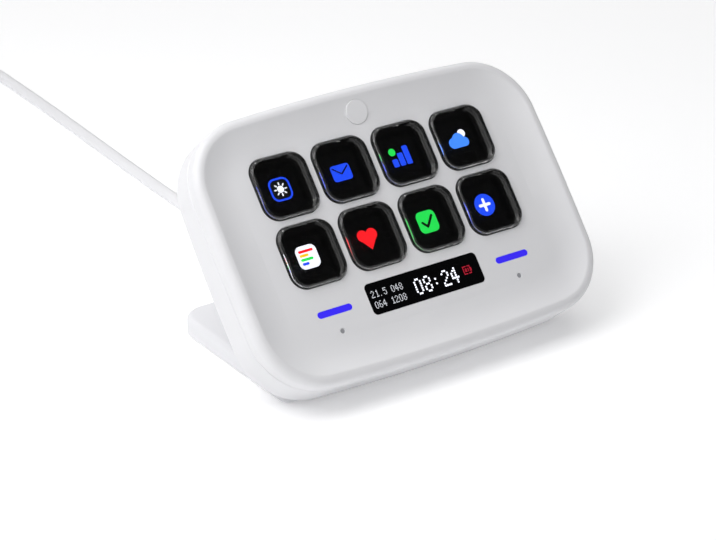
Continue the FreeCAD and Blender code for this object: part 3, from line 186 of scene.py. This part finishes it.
def middle(node: str, along: Vector) -> float:
    """Gives the middle of a node along a direction."""
    return sum(reach(node, along)) / 2


def wear(item: Object, *materials: Material) -> None:
    """Gives an object other materials, in place of those that it has.

    Args:
        item: the object.
        materials: what it gets.
    """
    item.data.materials.clear()
    for material in materials:
        item.data.materials.append(material)


def stack(name: str, shapes: list[tuple[Material, list[Point]]], ground_mm: float, layer_mm: float) -> Mesh:
    """Stacks flat shapes at the origin, each of them a plate that rises a layer above the one before.

    Args:
        name: the mesh's name.
        shapes: the material and the outline of each shape, in millimetres.
        ground_mm: what lies between the origin and the first layer.
        layer_mm: the thickness of a layer.

    Returns:
        The mesh, with each of the materials once.
    """
    materials = list(dict.fromkeys(material for material, outline in shapes))
    mesh = bpy.data.meshes.new(name)
    for material in materials:
        mesh.materials.append(material)
    plates = bmesh.new()
    for level, (material, outline) in enumerate(shapes):
        top = ground_mm + layer_mm * (level + 1)
        low = [plates.verts.new((x * MM, y * MM, 0)) for x, y in outline]
        high = [plates.verts.new((x * MM, y * MM, top * MM)) for x, y in outline]
        faces = [plates.faces.new(high), plates.faces.new(low[::-1])]
        for n in range(len(outline)):
            after = (n + 1) % len(outline)
            faces.append(plates.faces.new((low[n], low[after], high[after], high[n])))
        for face in faces:
            face.material_index = materials.index(material)
    plates.to_mesh(mesh)
    plates.free()
    return mesh


def make_piece(name: str, mesh: Mesh, body: str) -> Object:
    """Makes a finished piece of a mesh that lies in its place and has its materials.

    Args:
        name: the piece's name.
        mesh: its mesh, in the part's frame.
        body: the body that it moves with.

    Returns:
        The new object.
    """
    item = new_object(name, mesh)
    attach(item, body)
    LOG.info("%s: %d faces on %s", name, len(mesh.polygons), body)
    return item


@dataclass(frozen=True)
class Face:
    """The face frame, worked out from the frame's own nodes."""

    right: Vector
    up: Vector
    out: Vector
    level: float

    @classmethod
    def read(cls) -> "Face":
        """Reads the slope from the keys' travel and the level from the window's pane.

        Returns:
            The face frame.
        """
        out = -Vector(frame["joints"][0]["axis"]).normalized()
        right = Vector((1, 0, 0))
        return cls(right, out.cross(right), out, reach("info_window", out)[1])

    def matrix(self, x: float, y: float, z: float) -> Matrix:
        """Gives the matrix that puts a shape made flat at the origin onto the face.

        Args:
            x: place to the right, from the origin of the part's frame.
            y: place along the slope, from the origin of the part's frame.
            z: height above the floor of the dish.

        Returns:
            A matrix that turns and moves.
        """
        turn = Matrix((self.right, self.up, self.out)).transposed().to_4x4()
        place = self.right * x + self.up * y + self.out * (self.level + z)
        return Matrix.Translation(place) @ turn

    def centre(self, node: str) -> Point:
        """Gives the middle of a node, to the right and up the slope."""
        return middle(node, self.right), middle(node, self.up)


FACE = Face.read()


# Finishes


@dataclass(frozen=True)
class Finish:
    """A material by what it is: its colours, its gloss and the grain of its surface."""

    name: str
    colour: str
    shade: str
    roughness: float
    ior: float = 1.5
    metallic: float = 0.0
    grain_mm: float = 0.4
    grain_depth_mm: float = 0.003
    grain_detail: float = 3.0
    cloud_mm: float = 30.0
    cloud_detail: float = 2.0
    gloss_spread: float = 0.06

    def build(self) -> Material:
        """Builds the material.

        Returns:
            The material, with slow colour variation, a fine grain and uneven gloss.
        """
        material, shader = new_material(self.name, {"IOR": self.ior, "Metallic": self.metallic})
        tree = material.node_tree
        place = add(tree, "ShaderNodeTexCoord").outputs["Object"]
        self.tint(tree, shader, place)
        self.surface(tree, shader, place)
        self.special(tree, shader, place)
        return material

    def tint(self, tree: Tree, shader: Node, place: Socket) -> None:
        """Lets the colour drift slowly between its two tones.

        Args:
            tree: the material's tree.
            shader: its shader.
            place: the coordinates.
        """
        clouds = noise(tree, place, self.cloud_mm, self.cloud_detail)
        mix = add(tree, "ShaderNodeMix", {"data_type": "RGBA", 0: clouds,
                                          6: linear(self.colour), 7: linear(self.shade)})
        tree.links.new(mix.outputs[2], shader.inputs["Base Color"])

    def surface(self, tree: Tree, shader: Node, place: Socket) -> None:
        """Gives the surface its grain and its uneven gloss.

        Args:
            tree: the material's tree.
            shader: its shader.
            place: the coordinates.
        """
        grain = self.grain(tree, place)
        bump = add(tree, "ShaderNodeBump", {"Distance": self.grain_depth_mm * MM, "Height": grain})
        tree.links.new(bump.outputs["Normal"], shader.inputs["Normal"])
        half = self.gloss_spread / 2
        gloss = remap(tree, grain, (0.0, 1.0), (self.roughness - half, self.roughness + half))
        tree.links.new(gloss, shader.inputs["Roughness"])

    def grain(self, tree: Tree, place: Socket) -> Socket:
        """Gives the height of the grain, from zero to one."""
        return noise(tree, place, self.grain_mm, self.grain_detail)

    def special(self, tree: Tree, shader: Node, place: Socket) -> None:
        """Adds what only one kind of finish has."""


@dataclass(frozen=True)
class Clear(Finish):
    """A clear moulding that light goes through."""

    def tint(self, tree: Tree, shader: Node, place: Socket) -> None:
        """Keeps the colour even and lets the light through."""
        shader.inputs["Base Color"].default_value = linear(self.colour)
        shader.inputs["Transmission Weight"].default_value = 1.0


@dataclass(frozen=True)
class Brushed(Finish):
    """A metal with fine lines along one way."""

    grain_detail: float = 2.0
    stretch: float = 25.0

    def grain(self, tree: Tree, place: Socket) -> Socket:
        """Gives lines that run along X."""
        drawn = add(tree, "ShaderNodeMapping", {"Vector": place, "Scale": (1 / self.stretch, 1.0, 1.0)})
        return noise(tree, drawn.outputs["Vector"], self.grain_mm, self.grain_detail)


@dataclass(frozen=True)
class Lit(Finish):
    """A lit surface: screen ink or a light guide, with a faint grid of its own light points."""

    strength: float = 1.0
    pitch_mm: float = 0.3
    point_edge: Point = (0.3, 0.9)
    dim_share: float = 0.8

    def special(self, tree: Tree, shader: Node, place: Socket) -> None:
        """Makes the surface shine, a little less between its light points.

        Args:
            tree: the material's tree.
            shader: its shader.
            place: the coordinates.
        """
        points = add(tree, "ShaderNodeTexVoronoi", {"Scale": 1 / (self.pitch_mm * MM), "Randomness": 0.0,
                                                    "Vector": place})
        dim = remap(tree, points.outputs["Distance"], self.point_edge,
                    (self.strength, self.strength * self.dim_share))
        shader.inputs["Emission Color"].default_value = linear(self.colour)
        tree.links.new(dim, shader.inputs["Emission Strength"])


# Injection-moulded ABS blend, spark-eroded mould: an even matte grain that breaks up highlights.
# The real grain is near 0.15 mm, and it is drawn at 0.45 mm so that the render shows it.
HOUSING = Finish("abs_moulded_white", "E5E5E7", "E0E0E3", 0.5, 1.53, grain_mm=0.45, grain_depth_mm=0.006)
# The same ABS in a smoother mould, so the badge catches a little more light.
BADGE = Finish("abs_satin_white", "E9E9EB", "E5E5E8", 0.33, 1.53, grain_mm=0.3, grain_depth_mm=0.002)
# ABS again, moulded with a slightly coarser grain under the hand.
FOOT = Finish("abs_moulded_foot", "E4E4E7", "DFDFE2", 0.55, 1.53, grain_mm=0.6, grain_depth_mm=0.008)
# Polished acrylic: sharp highlights along the rounded edges, and a clear view down to the screen.
KEY_CLEAR = Clear("acrylic_clear", "FFFFFF", "FFFFFF", 0.03, 1.49, grain_mm=1.5, grain_depth_mm=0.0006,
                  gloss_spread=0.02)
# Polished black ABS round each key, which keeps stray light off the key's sides.
LINER = Finish("abs_polished_black", "040405", "060607", 0.14, 1.53, grain_mm=0.3, grain_depth_mm=0.003)
# Silicone rubber, moulded: milky and dull.
SILICONE = Finish("silicone_moulded", "C9CACB", "BEBFC1", 0.6, 1.41, grain_mm=0.8)
# Cover glass over a dark liquid crystal cell: near black, with a clean reflection.
SCREEN = Finish("screen_glass", "050507", "08080B", 0.12, 1.52, grain_mm=2.0, grain_depth_mm=0.0004,
                gloss_spread=0.03)
# Zinc-plated sheet steel, rolled: fine lines and a cool grey.
SHEET = Brushed("sheet_steel_rolled", "C4C7C9", "B2B5B8", 0.38, metallic=1.0, grain_mm=0.12)
# Green solder resist over glass-fibre laminate.
BOARD = Finish("solder_resist_green", "1C5A3A", "184E33", 0.3, 1.55, grain_mm=1.2, grain_depth_mm=0.01)
# Moulded epoxy of chip housings.
CHIP = Finish("epoxy_moulded_black", "1A1A1C", "222224", 0.6, 1.55, grain_mm=0.2)
# Clear lens over a small light.
LENS = Finish("lens_epoxy", "E9E6C8", "DEDBBE", 0.2, 1.5, grain_mm=0.5, grain_depth_mm=0.001)
# Nylon of the cord's header.
HEADER = Finish("nylon_moulded_cream", "E8E1CE", "DED7C4", 0.45, 1.53, grain_mm=0.4)
# Zinc-plated machine screws: turned, so lines round the head show as uneven gloss.
SCREW = Finish("screw_steel_plated", "B9BCBF", "A4A7AA", 0.3, metallic=1.0, grain_mm=0.15, gloss_spread=0.2)
# Smoked acrylic over the display: black until the numerals shine through.
PANE = Finish("acrylic_smoked", "040405", "060608", 0.1, 1.49, grain_mm=2.5, grain_depth_mm=0.0005,
              gloss_spread=0.04)
# Brass foil of the touch sensors.
FOIL = Finish("brass_foil", "C79A55", "B98C49", 0.35, metallic=1.0, grain_mm=0.5)
# Phosphated steel plate in the foot: dark grey and dull.
BALLAST = Finish("steel_phosphated", "55575A", "4A4C4F", 0.6, metallic=1.0, grain_mm=0.5, grain_depth_mm=0.01)
# Soft rubber with a fine moulded texture that grips the desk.
PAD = Finish("rubber_moulded_black", "1B1B1C", "232325", 0.75, 1.52, grain_mm=0.5, grain_depth_mm=0.02)
# Thermoplastic rubber of the sleeve and the plug's grip, duller than the cord.
SLEEVE = Finish("elastomer_moulded_white", "EBEBED", "E4E4E7", 0.6, 1.5, grain_mm=0.4, grain_depth_mm=0.006)
# Extruded jacket: smooth, with a faint draw-down ripple.
JACKET = Finish("elastomer_extruded_white", "EDEDEF", "E7E7EA", 0.42, 1.5, grain_mm=1.2, grain_depth_mm=0.01)
# Drawn and nickel-plated steel of the plug's shell.
NICKEL = Brushed("steel_nickel_plated", "CDCBC6", "BAB8B3", 0.22, metallic=1.0, grain_mm=0.1)
# Light guide of frosted acrylic, lit blue-violet from behind.
GUIDE = Lit("acrylic_frosted_lit", "2E20CE", "2E20CE", 0.4, 1.49, strength=0.75, pitch_mm=0.8)
# Grey painted on the floor of each touch dimple as the shade of a small hole.
DIMPLE_SHADE = Finish("painted_shade_grey", "A2A3A7", "97989C", 0.5, 1.5, grain_mm=0.2, grain_depth_mm=0.001)

DRESS = {
    HOUSING: ("front_bezel", "rear_shell"),
    BADGE: ("badge_disc",),
    FOOT: ("stand_foot",),
    SILICONE: ("dome_mat",),
    SCREEN: ("lcd_panel", "info_display"),
    SHEET: ("lcd_frame", "cord_clamp"),
    BOARD: ("main_board",),
    CHIP: ("board_chips",),
    LENS: ("side_leds",),
    HEADER: ("cord_header",),
    SCREW: ("board_screws", "case_screws", "stand_screws"),
    PANE: ("info_window",),
    FOIL: ("touch_pad_left", "touch_pad_right"),
    BALLAST: ("ballast_plate",),
    PAD: ("base_pad",),
    SLEEVE: ("strain_relief",),
    NICKEL: ("plug_shell",),
    GUIDE: ("light_bar_left", "light_bar_right"),
    KEY_CLEAR: tuple(f"key_cap_{n}" for n in KEY_NUMBERS),
    LINER: tuple(f"key_mask_{n}" for n in KEY_NUMBERS),
}


# Studio


@dataclass(frozen=True)
class Lamp:
    """A soft square light: its name, where it hangs, its side and its power in watts."""

    name: str
    place: Place
    size: float
    watts: float


@dataclass
class Studio:
    """Camera, floor and light, as the photograph has them."""

    focal_px: float = 2456.0
    frame_px: float = 716.0
    sensor_mm: float = 36.0
    azimuth: float = 34.87
    elevation: float = 25.58
    from_keys: Place = (-0.3395, -0.4733, 0.2570)
    corner_keys: tuple[int, ...] = (1, 4, 5, 8)
    light_colour: str = "FFFFFF"
    floor_size: float = 14.0
    floor_colour: str = "F7F7F8"
    floor_roughness: float = 0.8
    table_glow: float = 0.2
    lamps: tuple[Lamp, ...] = (
        Lamp("near_left", (-0.19, 0.0, 0.28), 0.24, 0.5),
        Lamp("behind_left", (-0.78, 0.42, 0.86), 0.9, 0.8),
        Lamp("overhead", (0.1, 0.3, 1.4), 1.6, 5.6),
    )
    lamp_target: Place = (0.0, 0.0, 0.03)
    low_glow: float = 0.34
    high_glow: float = 0.66
    high_level: float = 0.85
    dark_way: Place = (0.516, -0.538, 0.667)
    dark_edge: Point = (0.78, 0.93)
    dark_share: float = 0.04

    def camera(self) -> None:
        """Puts the camera where the photograph was taken from."""
        names = [f"key_cap_{n}" for n in self.corner_keys]
        up = sum(middle(name, FACE.up) for name in names) / len(names)
        keys = FACE.up * up + FACE.out * FACE.level
        data = bpy.data.cameras.new("camera")
        data.sensor_width = self.sensor_mm
        data.lens = self.focal_px * self.sensor_mm / self.frame_px
        item = new_object("camera", data)
        item.location = keys + Vector(self.from_keys)
        item.rotation_euler = (math.radians(90 - self.elevation), 0, -math.radians(self.azimuth))
        bpy.context.scene.camera = item

    def floor(self) -> None:
        """Lays a plain pale sheet of acrylic, weakly lit from below."""
        mesh = bpy.data.meshes.new("floor")
        half = self.floor_size / 2
        corners = [(-half, -half, 0), (half, -half, 0), (half, half, 0), (-half, half, 0)]
        mesh.from_pydata(corners, [], [(0, 1, 2, 3)])
        item = new_object("floor", mesh)
        material, shader = new_material("acrylic_opal_lit", {
            "Base Color": linear(self.floor_colour), "Roughness": self.floor_roughness,
            "Emission Color": linear(self.light_colour), "Emission Strength": self.table_glow})
        mesh.materials.append(material)

    def light(self, lamp: Lamp) -> None:
        """Hangs one light that faces the object.

        Args:
            lamp: what it is like.
        """
        data = bpy.data.lights.new(lamp.name, "AREA")
        data.size, data.energy = lamp.size, lamp.watts
        item = new_object(lamp.name, data)
        place = Vector(lamp.place)
        item.location = place
        item.rotation_euler = (place - Vector(self.lamp_target)).to_track_quat("Z", "Y").to_euler()

    def surround(self) -> None:
        """Surrounds everything with white paper that is dark where the keys would mirror it."""
        world = bpy.data.worlds.new("studio")
        world.use_nodes = True
        tree = world.node_tree
        way = add(tree, "ShaderNodeTexCoord").outputs["Generated"]
        height = add(tree, "ShaderNodeSeparateXYZ", {"Vector": way}).outputs["Z"]
        paper = remap(tree, height, (0.0, self.high_level), (self.low_glow, self.high_glow))
        near = add(tree, "ShaderNodeVectorMath", {"operation": "DOT_PRODUCT", 0: way, 1: self.dark_way})
        dark = remap(tree, near.outputs["Value"], self.dark_edge, (1.0, self.dark_share),
                     {"interpolation_type": "SMOOTHSTEP"})
        glow = add(tree, "ShaderNodeMath", {"operation": "MULTIPLY", 0: paper, 1: dark})
        background = tree.nodes["Background"]
        tree.links.new(glow.outputs["Value"], background.inputs["Strength"])
        background.inputs["Color"].default_value = linear(self.light_colour)
        bpy.context.scene.world = world

    def build(self) -> None:
        """Builds the whole studio."""
        self.camera()
        self.floor()
        for lamp in self.lamps:
            self.light(lamp)
        self.surround()
        bpy.context.scene.view_settings.view_transform = "Standard"


# Cord


@dataclass
class Cord:
    """The free cord: its route on the desk, its put-away coil and the plug at its end."""

    diameter: float = 0.0034
    length: float = 1.334
    route: tuple[Place, ...] = (
        (0.0, 0.02751, 0.01498),
        (-0.0005, 0.03765, 0.0079),
        (-0.0013, 0.04915, 0.0032),
        (-0.002, 0.063, 0.00175),
        (-0.0025, 0.082, 0.0017),
        (-0.0022, 0.106, 0.0017),
        (-0.0012, 0.132, 0.0017),
        (0.0001, 0.158, 0.0017),
        (0.0013, 0.184, 0.0017),
        (0.0021, 0.208, 0.0017),
        (0.0025, 0.228, 0.0017),
        (0.0026, 0.243, 0.0017),
    )
    coil_start: Place = (0.0026, 0.254, 0.0017)
    coil_radius: float = 0.0272
    coil_step: float = 0.0039
    layer_turns: int = 4
    points_per_half: int = 8
    off_coil: tuple[float, ...] = (0.0, 1.5, 2.4)
    into_plug: tuple[float, ...] = (2.2, 1.0, 0.0)
    line_steps: int = 4
    round_steps: int = 5

    def exit(self) -> Vector:
        """Gives the middle of the sleeve's end, where the cord comes out."""
        up, low = middle("strain_relief", FACE.up), reach("strain_relief", FACE.out)[0]
        return FACE.up * up + FACE.out * low

    def coil(self) -> list[Vector]:
        """Works out the coil's points, in along the desk and out again on top.

        Returns:
            Control points, wide of the turns by what a curve of this order cuts inside them.
        """
        step = math.pi / self.points_per_half
        # The curve's point nearest a control point takes three quarters of its place from it, and
        # the rest from the two beside it.
        own_share = 0.75
        wide = 1 / (own_share + (1 - own_share) * math.cos(step))
        halves = 2 * self.layer_turns
        shrink = [-self.coil_step / 2] * halves + [self.coil_step / 2] * halves
        edge = Vector(self.coil_start) + Vector((0, self.diameter, 0))
        points, radius, side = [], self.coil_radius, 1
        for turn in range(2 * halves + 1):
            climb = self.coil_step if turn == halves else 0.0
            centre = edge - Vector((side * radius, 0, 0))
            for n in range(self.points_per_half):
                angle = (n + 0.5) * step
                lift = climb * (n + 0.5) / self.points_per_half
                points.append(centre + Vector((side * math.cos(angle), side * math.sin(angle), 0))
                              * radius * wide + Vector((0, 0, lift)))
            edge = edge + Vector((-2 * side * radius, 0, climb))
            side = -side
            if turn < 2 * halves:
                radius += shrink[turn]
        return points

    def tail(self, last: Vector) -> list[Vector]:
        """Leads the cord from the coil's last turn down to the plug.

        Args:
            last: the coil's last point.

        Returns:
            Points that leave the coil straight and enter the plug's grip straight.
        """
        across, upright = Vector((1, 0, 0)), Vector((0, 0, 1))
        plug = Vector((middle("plug_grip", across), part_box("plug_grip")[1].y, middle("plug_grip", upright)))
        start = Vector((plug.x, self.coil_start[1] + self.diameter, last.z))
        lead = Vector((0, -self.diameter, 0))
        return [start + n * lead for n in self.off_coil] + [plug - n * lead for n in self.into_plug]

    def curve(self, points: list[Vector]) -> bpy.types.Curve:
        """Makes one smooth round line.

        Args:
            points: its control points.

        Returns:
            The curve, as thick as the cord and with closed ends.
        """
        data = bpy.data.curves.new("desk_cord", "CURVE")
        data.dimensions = "3D"
        spline = data.splines.new("NURBS")
        spline.points.add(len(points) - 1)
        for target, point in zip(spline.points, points):
            target.co = (*point, 1.0)
        spline.order_u = 3
        spline.use_endpoint_u = True
        spline.resolution_u = self.line_steps
        data.bevel_depth = self.diameter / 2
        data.bevel_resolution = self.round_steps
        data.use_fill_caps = True
        data.materials.append(JACKET.build())
        return data

    def build(self) -> None:
        """Builds the cord as one line from the sleeve to the plug."""
        points = [self.exit()] + [Vector(p) for p in self.route] + [Vector(self.coil_start)]
        points += self.coil()
        points += self.tail(points[-1])
        item = new_object("desk_cord", self.curve(points))
        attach(item, "root")
        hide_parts("cord", "cord_coil")
        nodes = frame["nodes"]
        wear(nodes["plug_grip"], SLEEVE.build())
        self.exit()
        LOG.info("desk_cord: %d points", len(points))


# Flat outlines, in millimetres

DISC_SIDES = 40
CORNER_SIDES = 6
END_SIDES = 8


def disc(radius: float, x: float = 0.0, y: float = 0.0) -> list[Point]:
    """Gives a disc's outline.

    Args:
        radius: its radius.
        x: its middle to the right.
        y: its middle upwards.

    Returns:
        The outline's points, counter-clockwise.
    """
    angles = (math.tau * n / DISC_SIDES for n in range(DISC_SIDES))
    return [(x + radius * math.cos(angle), y + radius * math.sin(angle)) for angle in angles]


def tile(width: float, height: float, corner: float, x: float = 0.0, y: float = 0.0) -> list[Point]:
    """Gives the outline of a rectangle with round corners.

    Args:
        width: its width.
        height: its height.
        corner: the radius of its corners.
        x: its middle to the right.
        y: its middle upwards.

    Returns:
        The outline's points, counter-clockwise.
    """
    outline = []
    for quarter, (side, level) in enumerate(((1, 1), (-1, 1), (-1, -1), (1, -1))):
        middle_x, middle_y = x + side * (width / 2 - corner), y + level * (height / 2 - corner)
        for n in range(CORNER_SIDES + 1):
            angle = math.pi / 2 * (quarter + n / CORNER_SIDES)
            outline.append((middle_x + corner * math.cos(angle), middle_y + corner * math.sin(angle)))
    return outline


def stroke(start: Point, end: Point, width: float) -> list[Point]:
    """Gives the outline of a straight line with round ends.

    Args:
        start: where it starts.
        end: where it ends.
        width: its width.

    Returns:
        The outline's points, counter-clockwise.
    """
    along = math.atan2(end[1] - start[1], end[0] - start[0])
    outline = []
    for centre, turn in ((end, along - math.pi / 2), (start, along + math.pi / 2)):
        for n in range(END_SIDES + 1):
            angle = turn + math.pi * n / END_SIDES
            outline.append((centre[0] + width / 2 * math.cos(angle), centre[1] + width / 2 * math.sin(angle)))
    return outline


# Screens, and painted shade in the touch dimples


class Ink(Enum):
    """The colours that the screens show: name, hex colour and strength of their light."""

    WHITE = ("light_white", "F2F5FF", 0.95)
    GREY = ("light_grey", "C9CCD2", 0.62)
    BLUE = ("light_blue", "1746E8", 1.0)
    SKY = ("light_sky", "3F84F5", 1.0)
    RED = ("light_red", "F0141E", 1.0)
    DULL_RED = ("light_dull_red", "B01A30", 0.7)
    YELLOW = ("light_yellow", "F7B90F", 1.0)
    GREEN = ("light_green", "1ED04C", 1.0)
    DARK = ("light_off", "020204", 0.0)

    def build(self, pitch_mm: float) -> Material:
        """Builds the lit material.

        Args:
            pitch_mm: the distance between the screen's light points.

        Returns:
            The material, with the grid of its light points.
        """
        name, colour, strength = self.value
        return Lit(name, colour, colour, 0.4, 1.49, strength=strength, pitch_mm=pitch_mm).build()


Drawing = list[tuple[Ink, list[Point]]]


@dataclass
class KeyPictures:
    """The pictures that the screen shows under the eight keys, from plain shapes in millimetres."""

    layer_mm: float = 0.012
    ground_mm: float = 0.01
    pitch_mm: float = 0.2

    def sun(self) -> Drawing:
        """Draws a white sun in a blue border.

        Returns:
            Its shapes, from the lowest up.
        """
        ways = [(math.cos(math.tau * n / 8), math.sin(math.tau * n / 8)) for n in range(8)]
        rays = [(Ink.WHITE, stroke((1.3 * x, 1.3 * y), (1.75 * x, 1.75 * y), 0.34)) for x, y in ways]
        border = [(Ink.BLUE, tile(6.2, 6.2, 1.9)), (Ink.DARK, tile(5.2, 5.2, 1.45))]
        return [*border, (Ink.WHITE, disc(0.95)), *rays]

    def letter(self) -> Drawing:
        """Draws a blue envelope."""
        flap = [stroke((-2.3, 1.45), (0.0, -0.35), 0.4), stroke((0.0, -0.35), (2.3, 1.45), 0.4)]
        return [(Ink.BLUE, tile(5.8, 4.4, 0.8)), *((Ink.DARK, line) for line in flap)]

    def levels(self) -> Drawing:
        """Draws three rising blue bars and a green dot."""
        bars = [(Ink.BLUE, tile(1.7, height, 0.35, x, height / 2 - 2.6))
                for x, height in ((-2.1, 2.2), (0.0, 3.6), (2.1, 5.2))]
        return [*bars, (Ink.GREEN, disc(1.05, -2.1, 1.6))]

    def cloud(self) -> Drawing:
        """Draws a light blue cloud in front of a white moon."""
        puffs = [disc(1.5, -1.5, -0.5), disc(1.9, 0.3, 0.2), disc(1.3, 2.0, -0.7),
                 tile(4.6, 1.6, 0.7, 0.2, -1.2)]
        return [(Ink.WHITE, disc(1.15, 1.9, 1.7)), *((Ink.SKY, puff) for puff in puffs)]

    def stripes(self) -> Drawing:
        """Draws coloured stripes of four lengths on a white tile.

        Returns:
            Its shapes, from the lowest up.
        """
        rows = ((Ink.RED, 3.9, 1.65), (Ink.YELLOW, 2.2, 0.55),
                (Ink.GREEN, 3.2, -0.55), (Ink.BLUE, 1.5, -1.65))
        lines = [(ink, stroke((-1.9, y), (length - 2.1, y), 0.72)) for ink, length, y in rows]
        return [(Ink.WHITE, tile(6.2, 6.2, 1.6)), *lines]

    def heart(self) -> Drawing:
        """Draws a red heart."""
        wedge = [(-2.62, 0.28), (0.0, -2.9), (2.62, 0.28), (0.0, 1.7)]
        return [(Ink.RED, disc(1.6, -1.4, 1.1)), (Ink.RED, disc(1.6, 1.4, 1.1)), (Ink.RED, wedge)]

    def tick(self) -> Drawing:
        """Draws a dark tick on a green tile."""
        return [(Ink.GREEN, tile(6.0, 6.0, 1.5)), (Ink.DARK, stroke((-1.6, 0.0), (-0.4, -1.3), 0.7)),
                (Ink.DARK, stroke((-0.4, -1.3), (1.8, 1.4), 0.7))]

    def plus(self) -> Drawing:
        """Draws a white plus sign on a blue disc."""
        return [(Ink.BLUE, disc(3.1)), (Ink.WHITE, stroke((-1.5, 0.0), (1.5, 0.0), 0.8)),
                (Ink.WHITE, stroke((0.0, -1.5), (0.0, 1.5), 0.8))]

    def build(self) -> None:
        """Builds one picture on the screen under each key."""
        inks = {ink: ink.build(self.pitch_mm) for ink in Ink}
        glass = reach("lcd_panel", FACE.out)[1] - FACE.level
        pictures = (self.sun, self.letter, self.levels, self.cloud,
                    self.stripes, self.heart, self.tick, self.plus)
        for number, draw in zip(KEY_NUMBERS, pictures):
            shapes = [(inks[ink], outline) for ink, outline in draw()]
            mesh = stack(f"key_picture_{number}", shapes, self.ground_mm, self.layer_mm)
            mesh.transform(FACE.matrix(*FACE.centre(f"key_cap_{number}"), glass))
            make_piece(f"key_picture_{number}", mesh, "root")


@dataclass
class PaintedDimpleShade:
    """Grey discs on the floors of the two touch dimples: painted shade of a small hole in each."""

    radius_mm: float = 0.6
    depth_mm: float = 0.25
    height_mm: float = 0.02

    def build(self) -> None:
        """Builds one disc of painted shade in each dimple."""
        # A grey disc on each dimple's floor is painted shade, standing in for the shade of a small hole.
        shapes = [(DIMPLE_SHADE.build(), disc(self.radius_mm))]
        for side in ("left", "right"):
            mesh = stack(f"painted_dimple_shade_{side}", shapes, 0.0, self.height_mm)
            mesh.transform(FACE.matrix(*FACE.centre(f"touch_pad_{side}"), -self.depth_mm * MM))
            make_piece(f"painted_dimple_shade_{side}", mesh, "root")


@dataclass(frozen=True)
class Line:
    """One line of the display: its signs, pixel pitch, left end, middle height and ink."""

    text: str
    pitch_mm: float
    left_mm: float
    level_mm: float
    ink: Ink


@dataclass
class InfoDisplay:
    """The narrow display's numbers, drawn with lit pixels from a Geometry Nodes tree.

    Each sign is written as a hex digit for each row of its pixels, from the top.
    """

    lines: tuple[Line, ...] = (
        Line("08:24", 0.58, -3.1, -0.3, Ink.WHITE),
        Line("21.5 048", 0.25, -16.4, 1.2, Ink.GREY),
        Line("064 1208", 0.25, -16.4, -1.7, Ink.GREY),
        Line("[]", 0.3, 12.4, 0.1, Ink.DULL_RED),
    )
    signs: dict[str, str] = field(default_factory=lambda: {
        "0": "6999996", "1": "2622227", "2": "691248F", "4": "26AAF22", "5": "F8E1196",
        "6": "688E996", "8": "6996996", ":": "0040400", ".": "0000004", " ": "0000000",
        "[": "F8BBB8F", "]": "E2BBB2E",
    })
    rows: int = 7
    columns: int = 4
    stretch: float = 1.1
    fill: float = 0.8
    height_mm: float = 0.02

    def pixels(self, line: Line) -> list[Place]:
        """Lists the middles of a line's lit pixels.

        Args:
            line: the line.

        Returns:
            The places in metres, in the window's own plane.
        """
        spots = []
        for place, sign in enumerate(line.text):
            for row, code in enumerate(self.signs[sign]):
                for column in range(self.columns):
                    if int(code, 16) >> (self.columns - 1 - column) & 1:
                        across = place * (self.columns + 1) + column
                        x = line.left_mm + line.pitch_mm * across
                        y = line.level_mm + line.pitch_mm * self.stretch * ((self.rows - 1) / 2 - row)
                        spots.append((x * MM, y * MM, 0.0))
        return spots

    def tree(self) -> Tree:
        """Builds the tree that puts one small plate on each point.

        Returns:
            The tree, with the plates' side, height and ink as inputs.
        """
        tree = bpy.data.node_groups.new("lit_pixels", "GeometryNodeTree")
        inputs = (("Points", "Geometry"), ("Side", "Float"), ("Height", "Float"), ("Ink", "Material"))
        for name, kind in inputs:
            tree.interface.new_socket(name, in_out="INPUT", socket_type=f"NodeSocket{kind}")
        tree.interface.new_socket("Pixels", in_out="OUTPUT", socket_type="NodeSocketGeometry")
        given = add(tree, "NodeGroupInput").outputs
        size = add(tree, "ShaderNodeCombineXYZ", {"X": given["Side"], "Y": given["Side"],
                                                  "Z": given["Height"]})
        plate = add(tree, "GeometryNodeMeshCube", {"Size": size.outputs["Vector"]})
        spread = add(tree, "GeometryNodeInstanceOnPoints", {"Points": given["Points"],
                                                            "Instance": plate.outputs["Mesh"]})
        real = add(tree, "GeometryNodeRealizeInstances", {"Geometry": spread.outputs["Instances"]})
        inked = add(tree, "GeometryNodeSetMaterial", {"Geometry": real.outputs["Geometry"],
                                                      "Material": given["Ink"]})
        add(tree, "NodeGroupOutput", {"Pixels": inked.outputs["Geometry"]})
        return tree

    def mesh(self, line: Line, tree: Tree) -> Mesh:
        """Turns one line into a plain mesh.

        Args:
            line: the line.
            tree: the tree that makes its plates.

        Returns:
            The mesh, in the window's own plane.
        """
        sockets = {item.name: item.identifier for item in tree.interface.items_tree}
        points = bpy.data.meshes.new("pixel_points")
        points.from_pydata(self.pixels(line), [], [])
        holder = new_object("pixel_points", points)
        step = holder.modifiers.new("pixels", "NODES")
        step.node_group = tree
        step[sockets["Side"]] = line.pitch_mm * self.fill * MM
        step[sockets["Height"]] = self.height_mm * MM
        step[sockets["Ink"]] = line.ink.build(line.pitch_mm)
        mesh = bpy.data.meshes.new_from_object(holder.evaluated_get(bpy.context.evaluated_depsgraph_get()))
        holder.modifiers.remove(step)
        bpy.data.objects.remove(holder)
        return mesh

    def build(self) -> None:
        """Builds each line as one piece on the window."""
        tree = self.tree()
        place = FACE.matrix(*FACE.centre("info_window"), self.height_mm * MM / 2)
        for number, line in enumerate(self.lines, 1):
            mesh = self.mesh(line, tree)
            mesh.transform(place)
            make_piece(f"display_line_{number}", mesh, "root")


def dress_nodes() -> None:
    """Gives each node that shows as it is its material."""
    for finish, names in DRESS.items():
        material = finish.build()
        for name in names:
            wear(frame["nodes"][name], material)
            LOG.info("%s: %s", name, finish.name)


def main() -> None:
    """Builds the keypad's looks in order."""
    logging.basicConfig(level=logging.INFO, format="%(name)s: %(message)s")
    Studio().build()
    Cord().build()
    dress_nodes()
    KeyPictures().build()
    PaintedDimpleShade().build()
    InfoDisplay().build()


if __name__ == "__main__":
    main()
